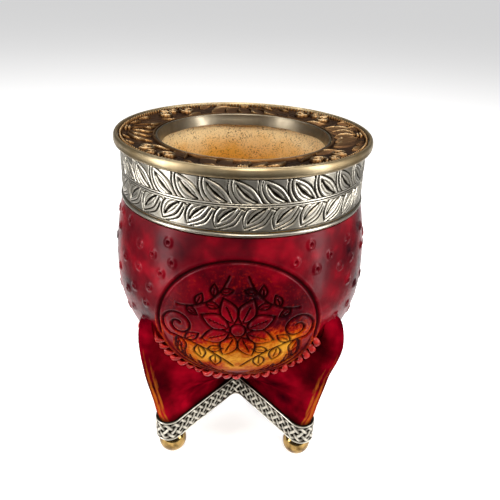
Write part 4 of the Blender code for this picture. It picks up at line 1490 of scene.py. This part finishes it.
# %% Seam and stitch
STITCH_STEP = 3.5
LACE_REACH = math.radians(72)
SEAM_OFF = 1.2
STITCH_L, STITCH_W, STITCH_T = 4.5, 2.3, 1.5
STITCH_ARCH, STITCH_SINK = 1.6, 0.4
STITCH_LEAN, LEAN_WOBBLE = math.radians(31), 0.34
SIZE_LOW, SIZE_HIGH = 0.76, 1.14


def seam_path(index, steps=90):
    """Points of one seam on the belly, with the outward direction at each."""
    radius = MEDALLION_R - SEAM_OFF
    angle = np.linspace(-LACE_REACH, LACE_REACH, steps)
    x, z = radius * np.sin(angle), MEDALLION_Z - radius * np.cos(angle)
    level = ((z - BELLY_Z) / (BELLY_DEPTH + 0.4)) ** 2
    y = -np.sqrt((BELLY_R + 0.4) ** 2 * (1 - level) - x * x)
    spots = np.stack([x, y, z], -1)
    out = np.stack([x / BELLY_R ** 2, y / BELLY_R ** 2, (z - BELLY_Z) / BELLY_DEPTH ** 2], -1)
    out /= np.linalg.norm(out, axis=1)[:, None]
    turn = np.array(Matrix.Rotation(math.pi / 2 * index, 3, "Z"))
    return spots @ turn.T, out @ turn.T


def stitch_object():
    """One stitch: a flat strap, arched in the middle and thin where it dives into the leather."""
    rows = []
    for t in np.linspace(-1, 1, 11):
        arch = STITCH_ARCH * (1 - t * t) - STITCH_SINK
        half_w = STITCH_W / 2 * (0.45 + 0.55 * math.sqrt(max(0.0, 1 - t ** 4)))
        half_t = STITCH_T / 2 * (0.5 + 0.5 * (1 - t * t))
        row = []
        for a in np.linspace(0, 2 * math.pi, 10, endpoint=False):
            c, s = math.cos(a), math.sin(a)
            row.append((t * STITCH_L / 2, half_w * math.copysign(abs(c) ** 0.7, c),
                        arch + half_t * math.copysign(abs(s) ** 0.8, s)))
        rows.append(np.array(row))
    return capped("stitch", rows, tuple(rows[0].mean(0)), tuple(rows[-1].mean(0)), lace_red)


stitch = stitch_object()
print("faces in a stitch:", len(stitch.data.polygons))

# %% [markdown]
# Geometry Nodes resample the seam's path, set one stitch on every point and turn it by the path's
# direction and the body's outward normal, with a little random lean and size, as hand work has.

# %% Lace tree
laces, given = new_tree("stitches_along_seam", {
    "Stitch": "Object", "Step": "Float", "Lean": "Float", "Seed": "Int", "Finish": "Material"})
as_curve = add(laces, "GeometryNodeMeshToCurve", {0: given["Geometry"]})
even = add(laces, "GeometryNodeResampleCurve", {
    "Curve": as_curve.outputs[0], "Length": given["Step"]}, mode="LENGTH")
stitch_in = add(laces, "GeometryNodeObjectInfo", {"Object": given["Stitch"]})
tangent = add(laces, "GeometryNodeInputTangent")
out_vector = add(laces, "GeometryNodeInputNamedAttribute", {"Name": "out"}, data_type="FLOAT_VECTOR")
face_out = add(laces, "FunctionNodeAlignRotationToVector", {
    "Vector": out_vector.outputs["Attribute"]}, axis="Z")
along = add(laces, "FunctionNodeAlignRotationToVector", {
    "Rotation": face_out.outputs[0], "Vector": tangent.outputs[0]}, axis="X", pivot_axis="Z")
wobble = add(laces, "FunctionNodeRandomValue", {
    2: -LEAN_WOBBLE, 3: LEAN_WOBBLE, "Seed": given["Seed"]}, data_type="FLOAT")
lean = add(laces, "ShaderNodeMath", {0: given["Lean"], 1: wobble.outputs[1]})
lean_turn = add(laces, "ShaderNodeCombineXYZ", {"Z": lean.outputs[0]})
turned_by = add(laces, "FunctionNodeRotateRotation", {
    "Rotation": along.outputs[0], "Rotate By": lean_turn.outputs[0]}, rotation_space="LOCAL")
size = add(laces, "FunctionNodeRandomValue", {
    2: SIZE_LOW, 3: SIZE_HIGH, "Seed": given["Seed"]}, data_type="FLOAT")
set_out = add(laces, "GeometryNodeInstanceOnPoints", {
    "Points": even.outputs[0], "Instance": stitch_in.outputs["Geometry"],
    "Rotation": turned_by.outputs[0], "Scale": size.outputs[1]})
joined = add(laces, "GeometryNodeRealizeInstances", {0: set_out.outputs[0]})
finished = add(laces, "GeometryNodeSetMaterial", {
    "Geometry": joined.outputs[0], "Material": given["Finish"]})
add(laces, "NodeGroupOutput", {0: finished.outputs[0]})
print("nodes in the lace tree:", len(laces.nodes))

# %% [markdown]
# A seam's path is a mesh of points and edges, because a mesh can carry the outward direction as an
# attribute. The tree turns it to a curve. The same stitch serves all four seams, and every seam has a
# seed of its own, so no two of them look alike.

# %% Stitch the four seams
for index in range(4):
    spots, outs = seam_path(index)
    seam = bpy.data.meshes.new("seam")
    seam.from_pydata((spots * MM).tolist(), [(i, i + 1) for i in range(len(spots) - 1)], [])
    layer = seam.attributes.new("out", "FLOAT_VECTOR", "POINT")
    layer.data.foreach_set("vector", outs.astype(np.float32).ravel())
    source = bpy.data.objects.new("seam_source", seam)
    bpy.context.scene.collection.objects.link(source)
    lace = run_tree(f"lace_stitches_{index + 1}", source, laces, Stitch=stitch, Step=STITCH_STEP * MM,
                    Lean=STITCH_LEAN, Seed=3 + index, Finish=lace_red)
    bpy.data.objects.remove(source, do_unlink=True)
    place(lace, "red_lace", f"seam_lace_{index + 1}")
bpy.data.objects.remove(stitch, do_unlink=True)

# %% [markdown]
# ## Ball feet
# Each ball is a polished brass sphere with a small worn flat below and a flat seat under the leg.

# %% Balls
BALL_STEPS = 64
centre_z = math.sqrt(BALL_R ** 2 - BALL_FLAT_R ** 2)
low = math.asin(-centre_z / BALL_R)
high = math.asin((BALL_TOP_Z - centre_z) / BALL_R)
for index in range(4):
    angle = math.radians(45 + 90 * index)
    middle = LEG_OFFSET * math.sqrt(2) * np.array([math.cos(angle), math.sin(angle)])
    around = np.arange(BALL_STEPS) * 2 * math.pi / BALL_STEPS
    rows = [np.column_stack([middle[0] + BALL_R * math.cos(rise) * np.cos(around),
                             middle[1] + BALL_R * math.cos(rise) * np.sin(around),
                             np.full(BALL_STEPS, centre_z + BALL_R * math.sin(rise))])
            for rise in np.linspace(low, high, 30)]
    ball = capped(f"ball_{index + 1}", rows, (*middle, 0.0), (*middle, BALL_TOP_Z), ball_brass)
    place(ball, "ball_brass", f"ball_foot_{index + 1}")
